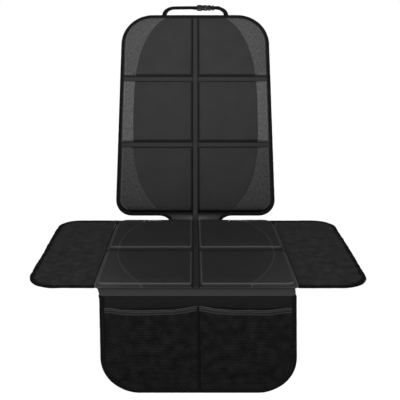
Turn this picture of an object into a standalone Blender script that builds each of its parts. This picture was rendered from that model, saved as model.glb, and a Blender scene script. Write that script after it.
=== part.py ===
"""Car seat protector mat.

A quilted back panel, a neck and a quilted seat panel lie on a car seat. Two thin wings cover the
seat's bolsters, and an apron with two mesh pockets hangs down the front of the cushion. A webbing
strap with a side-release buckle loops round the headrest.

Every sewn piece is drawn flat, as it is cut: x runs across the mat, s runs along it from the seat
panel's front edge and h stands off the mat's underside. fold() then lays it along the side profile
of the seat that the mat lies on: down the front of the cushion, over it and up the backrest.
Metres, +Z up. The origin is at the centre of the seat panel's underside, and the front faces -Y.
"""

import math

import bmesh
import bpy
from mathutils import Vector

# Seat panel
seat_width = 0.470
seat_depth = 0.463
seat_channel = 0.219
seat_rear_corner = 0.036
seat_front_corner = 0.020
seat_field_half_width = 0.200
seat_field_half_length = 0.290

# Neck between the seat panel and the back panel
neck_width = 0.150
neck_length = 0.031
neck_flare = 0.034
neck_fillet = 0.006

# Back panel
back_length = 0.6545
back_top_width = 0.468
back_foot_width = 0.478
back_top_corner = 0.098
back_foot_corner = 0.048
back_field_half_width = 0.193
back_field_rise = 0.363
back_field_fall = 0.338
back_field_centre = 0.313
back_field_power = 3
upper_channel = 0.4375
lower_channel = 0.2220

# Wings beside the seat panel
left_wing_width = 0.162
right_wing_width = 0.170
wing_front_taper = 0.007
wing_setback = 0.005
wing_overhang = 0.001
wing_corner = 0.045
wing_tip_share = 0.98

# Apron in front of the seat panel
apron_inset = 0.0135
apron_drop = 0.241
apron_corner = 0.090
band_length = 0.0175
pocket_mouth = 0.0400
mouth_sag = 0.0060
sag_turn = math.radians(130)
pocket_bulge = 0.010
hem_width = 0.013

# How the mat is folded on the seat
cushion_edge_radius = 0.014
neck_bend_radius = 0.038
neck_bend = math.radians(54)
lower_back_radius = 0.245
recline = math.radians(28)

# Layers and tapes
lining = 0.0012
cover = 0.0010
pad_rise = 0.0085
pad_edge = 0.012
pad_corner = 0.004
pad_gap = 0.001
foam_clearance = 0.0006
binding_reach = 0.008
binding_thickness = 0.0008
lining_stand = 0.0001
channel_width = 0.016
seam_allowance = 0.001
piping_width = 0.0035
piping_rise = 0.0022
seat_front_inset = 0.003
wing_thickness = 0.0020
band_thickness = 0.0020
mesh_thickness = 0.0008
hem_thickness = 0.0014
pocket_seam_width = 0.006
seam_tape_thickness = 0.0006
net_flat = 0.022
net_ramp = 0.060
net_shares = (0, 0.08, 0.2, 0.35, 0.5, 0.65, 0.8, 0.9, 0.95, 1)
clearance = 0.0003

# Headrest strap and its buckle
strap_width = 0.015
strap_thickness = 0.0012
strap_anchor = 0.100
strap_tail = 0.0078
strap_loop = 0.036
strap_setback = 0.012
strap_tilt = math.radians(22)
strap_turn = 0.034
lap_length = 0.014
lap_start = 0.0047
bar_half = 0.0009
slot_length = 0.0034
buckle_centre = 0.0345
buckle_width = 0.022
buckle_thickness = 0.0075
socket_length = 0.028
plug_length = 0.016
prong_length = 0.016
prong_width = 0.0026
tongue_length = 0.011
keeper_length = 0.006
keeper_half = 0.0034
buckle_wall = 0.0016
buckle_round = 0.0018

binding_wrap = clearance + binding_thickness
edge_low = binding_wrap + lining_stand
cover_low = edge_low + lining + clearance
cover_high = cover_low + cover
pad_inset = binding_reach + pad_gap
strip_half = channel_width / 2

for old in list(bpy.data.objects):
    bpy.data.objects.remove(old, do_unlink=True)


# The side profile that the mat is folded along

def profile_runs():
    """Length and turn of each run of the profile, from the apron's foot to the back's top."""
    roll = cushion_edge_radius * math.pi / 2
    heading = math.pi / 2 - recline
    neck = neck_bend_radius * neck_bend
    lower_back = lower_back_radius * (heading - neck_bend)
    upper_back = neck_length + back_length - neck - lower_back
    return [(apron_drop, 0.0), (roll, -math.pi / 2), (seat_depth, 0.0), (neck, neck_bend),
            (lower_back, heading - neck_bend), (upper_back, 0.0)]


def fold_stations(step=math.radians(11)):
    """Places along the profile where its direction changes, as (s, y, z, heading)."""
    s = -(apron_drop + cushion_edge_radius * math.pi / 2)
    y = -seat_depth / 2 - cushion_edge_radius
    z = -cushion_edge_radius - apron_drop
    heading = math.pi / 2
    stations = [(s, y, z, heading)]
    for length, turn in profile_runs():
        parts = max(1, math.ceil(abs(turn) / step))
        for _ in range(parts):
            chord = length / parts
            middle = heading + turn / parts / 2
            if turn:
                half = abs(turn) / parts / 2
                chord *= math.sin(half) / half
            y += chord * math.cos(middle)
            z += chord * math.sin(middle)
            heading += turn / parts
            s += length / parts
            stations.append((s, y, z, heading))
    return stations


STATIONS = fold_stations()


def on_seat(x, s, h):
    """Where the point x across, s along and h above the flat mat lies once it is folded."""
    for (s0, y0, z0, t0), (s1, y1, z1, t1) in zip(STATIONS, STATIONS[1:]):
        if s <= s1:
            break
    k = (s - s0) / (s1 - s0)
    rise_y = -(1 - k) * math.sin(t0) - k * math.sin(t1)
    rise_z = (1 - k) * math.cos(t0) + k * math.cos(t1)
    return Vector((x, y0 + k * (y1 - y0) + h * rise_y, z0 + k * (z1 - z0) + h * rise_z))


# Making solids

def material(name, colour, roughness):
    made = bpy.data.materials.new(name)
    made.use_nodes = True
    shader = made.node_tree.nodes["Principled BSDF"]
    shader.inputs["Base Color"].default_value = (*colour, 1.0)
    shader.inputs["Roughness"].default_value = roughness
    made.diffuse_color = (*colour, 1.0)
    return made


def solid(name, bm, colour, roughness=0.8, sharp=math.radians(35)):
    """Turn a finished bmesh into the named object, with a material of its own."""
    bmesh.ops.remove_doubles(bm, verts=bm.verts, dist=1e-6)
    bmesh.ops.recalc_face_normals(bm, faces=bm.faces)
    mesh = bpy.data.meshes.new(name)
    bm.to_mesh(mesh)
    bm.free()
    mesh.shade_smooth()
    mesh.set_sharp_from_angle(angle=sharp)
    mesh.materials.append(material(name, colour, roughness))
    made = bpy.data.objects.new(name, mesh)
    bpy.context.scene.collection.objects.link(made)
    return made


def fold(bm):
    """Cut a flat piece at the profile's fold lines and lay it along the seat."""
    low = min(v.co.y for v in bm.verts)
    high = max(v.co.y for v in bm.verts)
    for s, _, _, _ in STATIONS[1:-1]:
        if low < s < high:
            everything = bm.verts[:] + bm.edges[:] + bm.faces[:]
            bmesh.ops.bisect_plane(bm, geom=everything, dist=1e-7, plane_co=(0, s, 0),
                                   plane_no=(0, 1, 0))
    for v in bm.verts:
        v.co = on_seat(*v.co)
    return bm


def stacked(rings):
    """Closed body through rings of equal point counts, given as (outline, height) pairs."""
    bm = bmesh.new()
    loops = [[bm.verts.new((x, s, h)) for x, s in outline] for outline, h in rings]
    count = len(loops[0])
    for lower, upper in zip(loops, loops[1:]):
        for i in range(count):
            j = (i + 1) % count
            bm.faces.new((lower[i], lower[j], upper[j], upper[i]))
    bm.faces.new(loops[0][::-1])
    bm.faces.new(loops[-1])
    return bm


def slab(outline, low, high):
    """Flat piece of cloth with the given outline, between two heights."""
    return stacked([(outline, low), (outline, high)])


def swept(section, route):
    """Run a section, as (inward, height) points, along a route of (x, s, inward x, inward s)."""
    bm = bmesh.new()
    loops = [[bm.verts.new((x + d * nx, s + d * ns, h)) for d, h in section]
             for x, s, nx, ns in route]
    count = len(section)
    for here, there in zip(loops, loops[1:]):
        for i in range(count):
            j = (i + 1) % count
            bm.faces.new((here[i], here[j], there[j], there[i]))
    bm.faces.new(loops[0])
    bm.faces.new(loops[-1][::-1])
    return bm


def grid(points, under, over):
    """Closed sheet over a grid of (x, s) points, between two functions that give its heights."""
    bm = bmesh.new()
    faces = []
    for height in (under, over):
        faces.append([[bm.verts.new((x, s, height(x, s))) for x, s in row] for row in points])
    low, high = faces
    rows, columns = len(points), len(points[0])
    for verts in faces:
        for i in range(rows - 1):
            for j in range(columns - 1):
                bm.faces.new((verts[i][j], verts[i][j + 1], verts[i + 1][j + 1], verts[i + 1][j]))
    rim = [(0, j) for j in range(columns)] + [(i, columns - 1) for i in range(1, rows)]
    rim += [(rows - 1, j) for j in range(columns - 2, -1, -1)] + [(i, 0) for i in range(rows - 2, 0, -1)]
    for (i, j), (k, m) in zip(rim, rim[1:] + rim[:1]):
        bm.faces.new((low[i][j], low[k][m], high[k][m], high[i][j]))
    return bm


def arc(cx, cs, radius, start, stop, steps, hollow=False, across=None):
    """Route points on an arc, or on an ellipse that is 'across' wide, with their inward normals."""
    wide = across or radius
    route = []
    for i in range(steps + 1):
        a = math.radians(start + (stop - start) * i / steps)
        nx, ns = math.cos(a) / wide, math.sin(a) / radius
        size = math.hypot(nx, ns) * (1 if hollow else -1)
        route.append((cx + wide * math.cos(a), cs + radius * math.sin(a), nx / size, ns / size))
    return route


def corner_steps(radius):
    """Straight steps that a rounded corner is made of."""
    return max(2, round(2 + 60 * radius))


def closed(right):
    """Closed outline from its right half, which runs from the foot to the top."""
    return right + [(-x, s) for x, s in reversed(right)]


def outline_of(route):
    return [(x, s) for x, s, _, _ in route]


def sides():
    return (("left", -1), ("right", 1))


# Outline of the sewn body: seat panel, neck and back panel

seat_edge = seat_width / 2 - binding_wrap
back_foot = seat_depth + neck_length
back_top = back_foot + back_length - binding_wrap
neck_edge = neck_width / 2 + binding_wrap


def back_edge(s):
    """Half width of the back panel's cloth at s, without its corners."""
    share = (s - back_foot) / back_length
    return (back_foot_width + (back_top_width - back_foot_width) * share) / 2 - binding_wrap


def body_route():
    """Right edge of the body, from the seat panel's side seam up to the middle of the top."""
    r = seat_rear_corner
    route = arc(seat_edge - r, seat_depth - r, r, 0, 90, corner_steps(r))
    f = neck_fillet
    route += arc(neck_edge + f, seat_depth + f, f, 270, 180, 3, hollow=True)
    rise = neck_length - neck_fillet
    route += arc(neck_edge + neck_flare, back_foot - rise, rise, 180, 90, 5, hollow=True,
                 across=neck_flare)[1:]
    r = back_foot_corner
    route += arc(back_edge(back_foot + r) - r, back_foot + r, r, 270, 360, corner_steps(r))
    r = back_top_corner
    route += arc(back_edge(back_top - r) - r, back_top - r, r, 0, 90, corner_steps(r))
    return route


# Padded cells

class Panel:
    """A quilted panel: ends, half width at s, corner radii and how far its pads stay off its foot."""

    def __init__(self, foot, top, edge, foot_corner, top_corner, foot_inset):
        self.foot = foot
        self.top = top
        self.edge = edge
        self.foot_corner = foot_corner
        self.top_corner = top_corner
        self.foot_inset = foot_inset


class Cell:
    """One padded cell beside the centre strip, between s = low and s = high."""

    def __init__(self, panel, low, high):
        self.panel = panel
        self.low = low
        self.high = high

    def ring(self, t=None, small=pad_corner):
        """Outline of the cell's cloth, or of its pad set in by t from the line where it starts."""
        panel = self.panel
        at_foot = self.low == panel.foot
        at_top = self.high == panel.top
        seam, side, foot, top = (0, 0, 0, 0) if t is None else (
            seam_allowance + t, pad_inset + t,
            (panel.foot_inset if at_foot else seam_allowance) + t,
            (pad_inset if at_top else seam_allowance) + t)
        inner = strip_half + clearance + seam
        low = self.low + foot
        high = self.high - top
        foot_r = panel.foot_corner - foot if at_foot else small
        top_r = panel.top_corner - top if at_top else small
        foot_x = panel.edge(low + foot_r) - side - foot_r
        top_x = panel.edge(high - top_r) - side - top_r
        foot_steps = corner_steps(panel.foot_corner) if at_foot else 2
        top_steps = corner_steps(panel.top_corner) if at_top else 2
        route = arc(inner + small, low + small, small, 180, 270, 2)
        route += arc(foot_x, low + foot_r, foot_r, 270, 360, foot_steps)
        route += arc(top_x, high - top_r, top_r, 0, 90, top_steps)
        route += arc(inner + small, high - small, small, 90, 180, 2)
        return outline_of(route)


def dome(cell, wide, start, low, rise, angles):
    """Rings of a pad's rounded edge, as a quarter ellipse 'wide' across and 'rise' high."""
    return [(cell.ring(start + wide * (1 - math.cos(a))), low + rise * math.sin(a))
            for a in angles]


def cell_cover(cell):
    """Cover of one cell: a flat seam allowance all round and a domed top, one cloth thick."""
    quarter = [math.pi / 8 * i for i in range(5)]
    outside = dome(cell, pad_edge, 0, cover_high, pad_rise, quarter)
    inside = dome(cell, pad_edge - cover, cover, cover_low, pad_rise, quarter)
    edge = cell.ring(small=seam_allowance)
    return stacked(inside[::-1] + [(edge, cover_low), (edge, cover_high)] + outside)


def cell_foam(cell):
    """Foam pad inside one cell: flat below, with edges rounded to fit the cover."""
    start = cover + foam_clearance
    rings = dome(cell, pad_edge - cover, start, cover_low, 0, [0])
    rings += dome(cell, pad_edge - cover, start, cover_low - clearance, pad_rise,
                  [math.pi / 4, math.pi / 2])
    return stacked(rings)


def on_side(bm, side):
    """The piece as it is on the right of the mat, or turned over for the left."""
    for v in bm.verts:
        v.co.x *= side
    return bm


def combined(bm, other, operation):
    """Boolean of two closed bodies: the second cuts, or is joined to, the first."""
    parts = []
    for shape in (bm, other):
        bmesh.ops.recalc_face_normals(shape, faces=shape.faces)
        mesh = bpy.data.meshes.new("shape")
        shape.to_mesh(mesh)
        shape.free()
        part = bpy.data.objects.new("shape", mesh)
        bpy.context.scene.collection.objects.link(part)
        parts.append(part)
    modifier = parts[0].modifiers.new("combine", "BOOLEAN")
    modifier.object = parts[1]
    modifier.operation = operation
    modifier.solver = "EXACT"
    result = bmesh.new()
    result.from_object(parts[0], bpy.context.evaluated_depsgraph_get())
    for part in parts:
        bpy.data.objects.remove(part, do_unlink=True)
    return result


def back_field(s, grow=0.0):
    """Half width of the back's dark centre field: a drawn-out oval, fuller above its middle."""
    centre = back_foot + back_field_centre
    reach = back_field_rise if s > centre else back_field_fall
    share = min(1.0, abs(s - centre) / reach)
    return back_field_half_width * math.sqrt(1 - share ** back_field_power) + grow


def seat_field(s, grow=0.0):
    """Half width of the seat's oval centre field."""
    share = min(1.0, abs(s - seat_depth / 2) / seat_field_half_length)
    return seat_field_half_width * math.sqrt(1 - share ** 2) + grow


def field_outline(half_width, low, high, grow, steps):
    """Closed outline of a centre field, from s = low to s = high."""
    rows = [low + (high - low) * i / steps for i in range(steps + 1)]
    return closed([(half_width(s, grow), s) for s in rows])


black = (0.012, 0.012, 0.013)
dark_cloth = (0.040, 0.040, 0.041)
grey_cloth = (0.095, 0.095, 0.097)
foam_grey = (0.45, 0.45, 0.44)
lining_grey = (0.025, 0.025, 0.026)


def quilted(prefix, names, cells, field, field_steps, outer_name, outer_colour):
    """Foam, centre cover and outer cover of every cell of a panel, on both sides."""
    panel = cells[0].panel
    ends = (panel.foot - pad_inset, panel.top + pad_inset)
    depth = (-cover, cover_high + 2 * pad_rise)
    for label, cell in zip(names, cells):
        for side_name, side in sides():
            where = f"{label}_{side_name}"
            solid(f"{prefix}_foam_{where}", fold(on_side(cell_foam(cell), side)), foam_grey)
            for name, colour, grow, operation in (
                    ("face", dark_cloth, -clearance / 2, "INTERSECT"),
                    (outer_name, outer_colour, clearance / 2, "DIFFERENCE")):
                scissors = slab(field_outline(field, *ends, grow, field_steps), *depth)
                piece = combined(on_side(cell_cover(cell), side), scissors, operation)
                solid(f"{prefix}_{name}_{where}", fold(piece), colour)


# Back panel

def make_back():
    foot = back_foot + clearance
    panel = Panel(foot, back_top, back_edge, back_foot_corner, back_top_corner, pad_inset)
    half = strip_half + clearance
    marks = [back_foot + lower_channel, back_foot + upper_channel]
    cells = [Cell(panel, foot, marks[0] - half), Cell(panel, marks[0] + half, marks[1] - half),
             Cell(panel, marks[1] + half, back_top)]
    quilted("back", ("lower", "middle", "upper"), cells, back_field, 28, "side", grey_cloth)

    right = [(x, max(s, foot), nx, ns) for x, s, nx, ns in body_route() if s > back_foot - clearance]
    solid("back_lining", fold(lining_layer(right, right)), lining_grey)
    for name, middle in (("lower", marks[0]), ("upper", marks[1])):
        for side_name, side in sides():
            strip = on_side(cross_strip(back_edge, middle), side)
            solid(f"back_cross_strip_{name}_{side_name}", fold(strip), dark_cloth)


def lining_layer(outer, inner):
    """Lining whose edge is thin enough to go under the binding, from the routes of its right side.

    Inside the binding it stands on the vehicle seat, a little lower than the binding itself.
    """
    reach = binding_reach + clearance
    inside = closed([(x + reach * nx, s + reach * ns) for x, s, nx, ns in inner])
    outside = closed(outline_of(outer))
    return stacked([(inside, 0), (inside, edge_low), (outside, edge_low),
                    (outside, edge_low + lining)])


def cross_strip(edge, middle):
    """Flat strip in the channel between two rows of cells, from the centre strip to the edge."""
    low, high = middle - strip_half, middle + strip_half
    start = strip_half + clearance
    return slab([(start, low), (edge(low), low), (edge(high), high), (start, high)],
                cover_low, cover_high)


# Neck

def make_neck():
    """Lining and two covers, which leave room for the centre strip between them."""
    limit = neck_edge + neck_flare + clearance
    edge = [(x, s) for x, s in outline_of(body_route())
            if seat_depth - clearance < s < back_foot + clearance and x < limit]
    solid("neck_lining", fold(slab(closed(edge), edge_low, edge_low + lining)), lining_grey)
    start = strip_half + clearance
    outline = [(start, seat_depth)] + edge + [(start, back_foot)]
    for side_name, side in sides():
        piece = on_side(slab(outline, cover_low, cover_high), side)
        solid(f"neck_cover_{side_name}", fold(piece), dark_cloth)


# Seat panel

def seat_half(s):
    return seat_edge


def make_seat():
    top = seat_depth - clearance
    panel = Panel(0.0, top, seat_half, seat_front_corner, seat_rear_corner, seat_front_inset)
    middle = seat_channel
    half = strip_half + clearance
    cells = [Cell(panel, 0.0, middle - half), Cell(panel, middle + half, top)]
    quilted("seat", ("front", "rear"), cells, seat_field, 20, "corner", dark_cloth)

    r = seat_front_corner
    front = [(x, s, 0, 0) for x, s, _, _ in arc(seat_edge - r, r, r, 270, 360, corner_steps(r))]
    r = seat_rear_corner
    front.append((seat_edge, seat_depth - r - clearance, 0, 0))
    bound = arc(seat_edge - r, top - r, r, 0, 90, corner_steps(r))
    tucked = [(bound[0][0], front[-1][1], bound[0][2], 0)] + bound
    solid("seat_lining", fold(lining_layer(front + front[-1:] + bound, front + tucked)), lining_grey)
    for side_name, side in sides():
        solid(f"seat_cross_strip_{side_name}", fold(on_side(cross_strip(seat_half, middle), side)),
              dark_cloth)


def make_centre_strip():
    """The strip between the left and right cells runs through the neck, from front to top."""
    outline = closed([(strip_half, 0.0), (strip_half, back_top)])
    solid("centre_strip", fold(slab(outline, cover_low, cover_high)), dark_cloth)


# Bindings and piping

def binding_section(layers_low, layers_high):
    """U-shaped section of a binding tape folded over a cloth edge between the given heights."""
    under = layers_low - clearance
    bottom = under - binding_thickness
    inside = layers_high + clearance
    outside = inside + binding_thickness
    bend = binding_thickness / 2
    return [(binding_reach, outside), (-clearance, outside), (-binding_wrap, outside - bend),
            (-binding_wrap, bottom + bend), (-clearance, bottom), (binding_reach, bottom),
            (binding_reach, under), (-clearance, under), (-clearance, inside),
            (binding_reach, inside)]


def round_both_sides(right):
    """A right-hand route carried on round the left side, from its end back to its start."""
    return right + [(-x, s, -nx, ns) for x, s, nx, ns in reversed(right)]


def make_body_binding():
    route = round_both_sides(body_route())
    solid("mat_binding", fold(swept(binding_section(edge_low, cover_high), route)), black)


def make_piping():
    """Bead of folded cloth sewn over the seam between the seat panel and each wing."""
    low = cover_high + clearance
    half = piping_width / 2
    bead = [(half * math.cos(a), low + piping_rise * math.sin(a))
            for a in (math.pi * i / 6 for i in range(7))]
    start = seat_front_corner + clearance
    stop = seat_depth - seat_rear_corner - 2 * clearance
    for side_name, side in sides():
        route = [(side * seat_edge, start, -side, 0), (side * seat_edge, stop, -side, 0)]
        solid(f"wing_piping_{side_name}", fold(swept(bead, route)), dark_cloth)


# Wings

def make_wing(side_name, side, width):
    """A thin double-cloth panel, bound on three edges, whose root follows the seat's edge."""
    root = seat_edge + clearance
    edge = root + width - binding_wrap
    foot = wing_setback + binding_wrap
    top = seat_depth + wing_overhang - binding_wrap
    r = wing_corner
    corners = arc(edge - wing_front_taper - r, foot + r, r, 270, 360, corner_steps(r))
    corners += arc(edge - r, top - r, r, 0, 90, corner_steps(r))
    round_corner = seat_rear_corner + binding_wrap + clearance
    centre_s = seat_depth - seat_rear_corner
    rise = min(wing_tip_share, (top - centre_s) / round_corner)
    behind = arc(seat_edge - seat_rear_corner, centre_s, round_corner,
                 math.degrees(math.asin(rise)), 0, 3 * corner_steps(seat_rear_corner))
    outline = [(root, foot)] + outline_of(corners) + outline_of(behind)
    outline.append((seat_edge + round_corner - seat_rear_corner, centre_s - 2 * clearance))
    outline.append((root, centre_s - 2 * clearance))
    panel = on_side(slab(outline, edge_low, edge_low + wing_thickness), side)
    solid(f"wing_panel_{side_name}", fold(panel), dark_cloth)
    tape_low = top - binding_reach - centre_s
    tape_end = seat_edge - seat_rear_corner + math.sqrt(round_corner ** 2 - max(0.0, tape_low) ** 2)
    route = [(root, foot, 0, 1)] + corners + [(tape_end + clearance, top, 0, -1)]
    tape = on_side(swept(binding_section(edge_low, edge_low + wing_thickness), route), side)
    solid(f"wing_binding_{side_name}", fold(tape), black)


# Apron

apron_edge = seat_width / 2 - apron_inset - binding_wrap
apron_foot = STATIONS[0][0] + binding_wrap
net_low = cover + clearance
net_high = net_low + mesh_thickness
hem_high = net_low + hem_thickness


def apron_corner_centre():
    return apron_edge - apron_corner, apron_foot + apron_corner


def apron_half(s):
    """Half width of the apron at s, with its rounded foot."""
    cx, cs = apron_corner_centre()
    drop = min(apron_corner, max(0.0, cs - s))
    return cx + math.sqrt(apron_corner ** 2 - drop ** 2)


def apron_depth(x, s):
    """Distance of a point of the apron from its bound edge."""
    cx, cs = apron_corner_centre()
    if abs(x) > cx and s < cs:
        return apron_corner - math.hypot(abs(x) - cx, s - cs)
    return min(apron_edge - abs(x), s - apron_foot)


def apron_corner_rows():
    """Values of s down the apron's rounded corner, one for each step of its arc."""
    steps = corner_steps(apron_corner)
    return [apron_foot + apron_corner * (1 - math.sin(math.pi / 2 * i / steps))
            for i in range(1, steps + 1)]


def mouth_line(x):
    """Upper edge of the pocket net, which sags between the centre seam and the side bindings."""
    share = min(1.0, abs(x) / apron_edge)
    return -pocket_mouth - mouth_sag * math.sin(sag_turn * share)


def fullness(x, s):
    """How far the pocket net stands off its seams: most in the middle of each open mouth."""
    aside = (apron_depth(x, s) - net_flat) / net_ramp
    from_seam = (abs(x) - pocket_seam_width / 2) / net_ramp
    lift = pocket_bulge
    for share in (aside, from_seam):
        lift *= math.sin(math.pi / 2 * min(1.0, max(0.0, share)))
    return lift


def below_mouth(x, drop):
    """Place s on the pocket cloth, at a distance below the mouth that is measured at its edge."""
    share = drop / (mouth_line(apron_edge) - apron_foot)
    return mouth_line(x) - share * (mouth_line(x) - apron_foot)


def net_columns(s):
    start = pocket_seam_width / 2
    half = apron_half(s)
    right = [start + (half - start) * share for share in net_shares]
    return [-x for x in reversed(right)] + right


def net_grid(drops):
    """Grid of the pocket cloth, with a row at each of the given distances below the mouth."""
    rows = []
    for drop in drops:
        columns = net_columns(mouth_line(apron_edge) - drop)
        rows.append([(x, below_mouth(x, drop)) for x in columns])
    return rows


def make_apron():
    half = apron_edge
    band = slab(closed([(half, -band_length), (half, -clearance)]), 0, band_thickness)
    solid("apron_band", fold(band), dark_cloth)

    sides_down = [(apron_half(s), s) for s in reversed(apron_corner_rows())]
    sides_down.append((half, apron_foot + apron_corner))
    backing = slab(closed(sides_down + [(half, -band_length - clearance)]), 0, cover)
    solid("apron_backing", fold(backing), black)

    top = mouth_line(apron_edge)
    net_top = hem_width + clearance
    corner_top = top - apron_foot - apron_corner
    drops = [net_top + (corner_top - net_top) * i / 5 for i in range(6)]
    drops += [top - s for s in apron_corner_rows()]
    net = grid(net_grid(drops), lambda x, s: net_low + fullness(x, s),
               lambda x, s: net_high + fullness(x, s))
    solid("pocket_net", fold(net), black)
    hem = grid(net_grid([0.0, hem_width]), lambda x, s: net_low + fullness(x, s),
               lambda x, s: hem_high + fullness(x, s))
    solid("pocket_hem", fold(hem), black)
    tape_half = pocket_seam_width / 2 - clearance
    tape_top = below_mouth(pocket_seam_width / 2, hem_width) - clearance
    tape = slab(closed([(tape_half, apron_foot + binding_reach + clearance), (tape_half, tape_top)]),
                net_high + clearance, net_high + clearance + seam_tape_thickness)
    solid("pocket_centre_tape", fold(tape), black)

    cx, cs = apron_corner_centre()
    route = [(half, -clearance, -1, 0)]
    route += arc(cx, cs, apron_corner, 0, -90, corner_steps(apron_corner))
    solid("apron_binding", fold(swept(binding_section(0, hem_high), round_both_sides(route))), black)


# Headrest strap and buckle

def at_loop(x, across, out):
    """Flat-mat place of a point of the strap's level run: along x, across and out of the webbing."""
    c, d = math.cos(strap_tilt), math.sin(strap_tilt)
    return Vector((x, back_top + strap_loop + across * c + out * d,
                   -strap_setback - across * d + out * c))


def ribbon(points, widths):
    """Webbing through the given points, lying along the given width direction at each."""
    bm = bmesh.new()
    loops = []
    for i, (point, width) in enumerate(zip(points, widths)):
        ahead = points[min(i + 1, len(points) - 1)] - points[max(i - 1, 0)]
        ahead.normalize()
        across = (width - ahead * width.dot(ahead)).normalized() * strap_width / 2
        out = ahead.cross(across).normalized() * strap_thickness / 2
        loops.append([bm.verts.new(point + across * a + out * b)
                      for a, b in ((1, 1), (-1, 1), (-1, -1), (1, -1))])
    for here, there in zip(loops, loops[1:]):
        for i in range(4):
            bm.faces.new((here[i], here[(i + 1) % 4], there[(i + 1) % 4], there[i]))
    bm.faces.new(loops[0])
    bm.faces.new(loops[-1][::-1])
    return bm


def strap_side(bar_x, side):
    """Points and widths of one half of the strap: sewn tail, turn, level run, loop on its bar."""
    behind = lining_stand - clearance - strap_thickness / 2
    level = [at_loop(0, 0, 0).y, at_loop(0, 0, 0).z]
    flat, upright = Vector((side, 0, 0)), at_loop(0, -1, 0) - at_loop(0, 0, 0)
    points = [Vector((side * strap_anchor, back_top - strap_tail, behind)),
              Vector((side * strap_anchor, back_top, behind))]
    widths = [-flat, -flat]
    turn = 8
    for i in range(1, turn + 1):
        a = math.pi / 2 * i / turn
        blend = math.sin(a) ** 2
        x = side * (strap_anchor - strap_turn * (1 - math.cos(a)))
        s = back_top + clearance + (level[0] - back_top - clearance) * math.sin(a)
        points.append(Vector((x, s, behind + (level[1] - behind) * blend)))
        widths.append((-flat * math.cos(a) + upright * math.sin(a)).normalized())
    lap = strap_thickness / 2 + clearance / 2
    wrap = (bar_half * math.sqrt(2) + clearance) / math.cos(math.pi / 12) + strap_thickness / 2
    run = [(lap_length, lap), (lap_start, lap), (0.0, wrap)]
    run += [(-wrap * math.sin(a), wrap * math.cos(a)) for a in (math.pi * i / 6 for i in range(1, 6))]
    run += [(0.0, -wrap), (lap_start, -lap), (lap_length, -lap)]
    for away, out in run:
        points.append(at_loop(bar_x + side * away, 0, out))
        widths.append(upright)
    return points, widths


def box(x0, x1, across, out0, out1):
    """Block of the buckle between two places along the strap, centred across it."""
    bm = bmesh.new()
    loops = [[bm.verts.new((x, a, o)) for a, o in
              ((-across, out0), (across, out0), (across, out1), (-across, out1))] for x in (x0, x1)]
    bm.faces.new(loops[0])
    bm.faces.new(loops[1][::-1])
    for i in range(4):
        j = (i + 1) % 4
        bm.faces.new((loops[0][i], loops[0][j], loops[1][j], loops[1][i]))
    bmesh.ops.recalc_face_normals(bm, faces=bm.faces)
    return bm


def shell_block(x0, x1):
    """Outer block of a buckle half, with rounded edges."""
    bm = box(x0, x1, buckle_width / 2, -buckle_thickness / 2, buckle_thickness / 2)
    bmesh.ops.bevel(bm, geom=bm.edges[:], offset=buckle_round, segments=2, profile=0.5,
                    affect="EDGES", clamp_overlap=True)
    return bm


def strap_bar(bm, end_x, inward):
    """Cut a webbing slot near one end of a block and thin the bar that is left beside it."""
    half = strap_width / 2 + 2 * clearance
    tall = buckle_thickness
    slot_far = end_x + inward * (2 * bar_half + slot_length)
    slot = sorted((end_x + inward * 2 * bar_half, slot_far))
    bm = combined(bm, box(*slot, half, -tall, tall), "DIFFERENCE")
    bar = sorted((end_x - inward * bar_half, end_x + inward * (2 * bar_half + slot_length / 2)))
    bm = combined(bm, box(*bar, half, bar_half, tall), "DIFFERENCE")
    return combined(bm, box(*bar, half, -tall, -bar_half), "DIFFERENCE")


def buckle_part(name, bm):
    for v in bm.verts:
        v.co = on_seat(*at_loop(*v.co))
    solid(name, bm, black, 0.45)


def make_buckle():
    """Side-release buckle: the plug's two prongs lie in the socket and show at its side windows."""
    mouth = buckle_centre
    back = mouth - socket_length
    half_hollow = buckle_width / 2 - buckle_wall
    half_deep = buckle_thickness / 2 - buckle_wall
    socket = strap_bar(shell_block(back, mouth), back, 1)
    socket = combined(socket, box(mouth - prong_length - 2 * clearance, mouth + buckle_wall,
                                  half_hollow, -half_deep, half_deep), "DIFFERENCE")
    window = box(mouth - prong_length - clearance, mouth - prong_length / 2,
                 buckle_width, -half_deep, half_deep)
    buckle_part("buckle_socket", combined(socket, window, "DIFFERENCE"))

    end = mouth + clearance + plug_length
    plug = strap_bar(shell_block(mouth + clearance, end), end, -1)
    arm = half_deep - clearance
    inner = half_hollow - clearance
    for side in (-1, 1):
        prong = box(mouth - prong_length, mouth + buckle_wall, prong_width / 2, -arm, arm)
        for v in prong.verts:
            v.co.y += side * (inner - prong_width / 2)
        plug = combined(plug, prong, "UNION")
    tongue = box(mouth - tongue_length, mouth + buckle_wall, prong_width / 2, -arm, arm)
    buckle_part("buckle_plug", combined(plug, tongue, "UNION"))


def make_strap():
    bars = {"left": buckle_centre - socket_length + bar_half,
            "right": buckle_centre + clearance + plug_length - bar_half}
    names = {"left": "strap_long", "right": "strap_short"}
    for side_name, side in sides():
        webbing = ribbon(*strap_side(bars[side_name], side))
        for v in webbing.verts:
            v.co = on_seat(*v.co)
        solid(names[side_name], webbing, black)
    start = bars["right"] + lap_start + clearance
    stop = start + keeper_length
    keeper = box(start, stop, strap_width / 2 + 2 * buckle_wall, -keeper_half, keeper_half)
    hole = box(start - buckle_wall, stop + buckle_wall, strap_width / 2 + clearance,
               buckle_wall - keeper_half, keeper_half - buckle_wall)
    buckle_part("strap_keeper", combined(keeper, hole, "DIFFERENCE"))


make_back()
make_neck()
make_seat()
make_centre_strip()
make_body_binding()
make_piping()
make_wing("left", -1, left_wing_width)
make_wing("right", 1, right_wing_width)
make_apron()
make_buckle()
make_strap()
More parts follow.
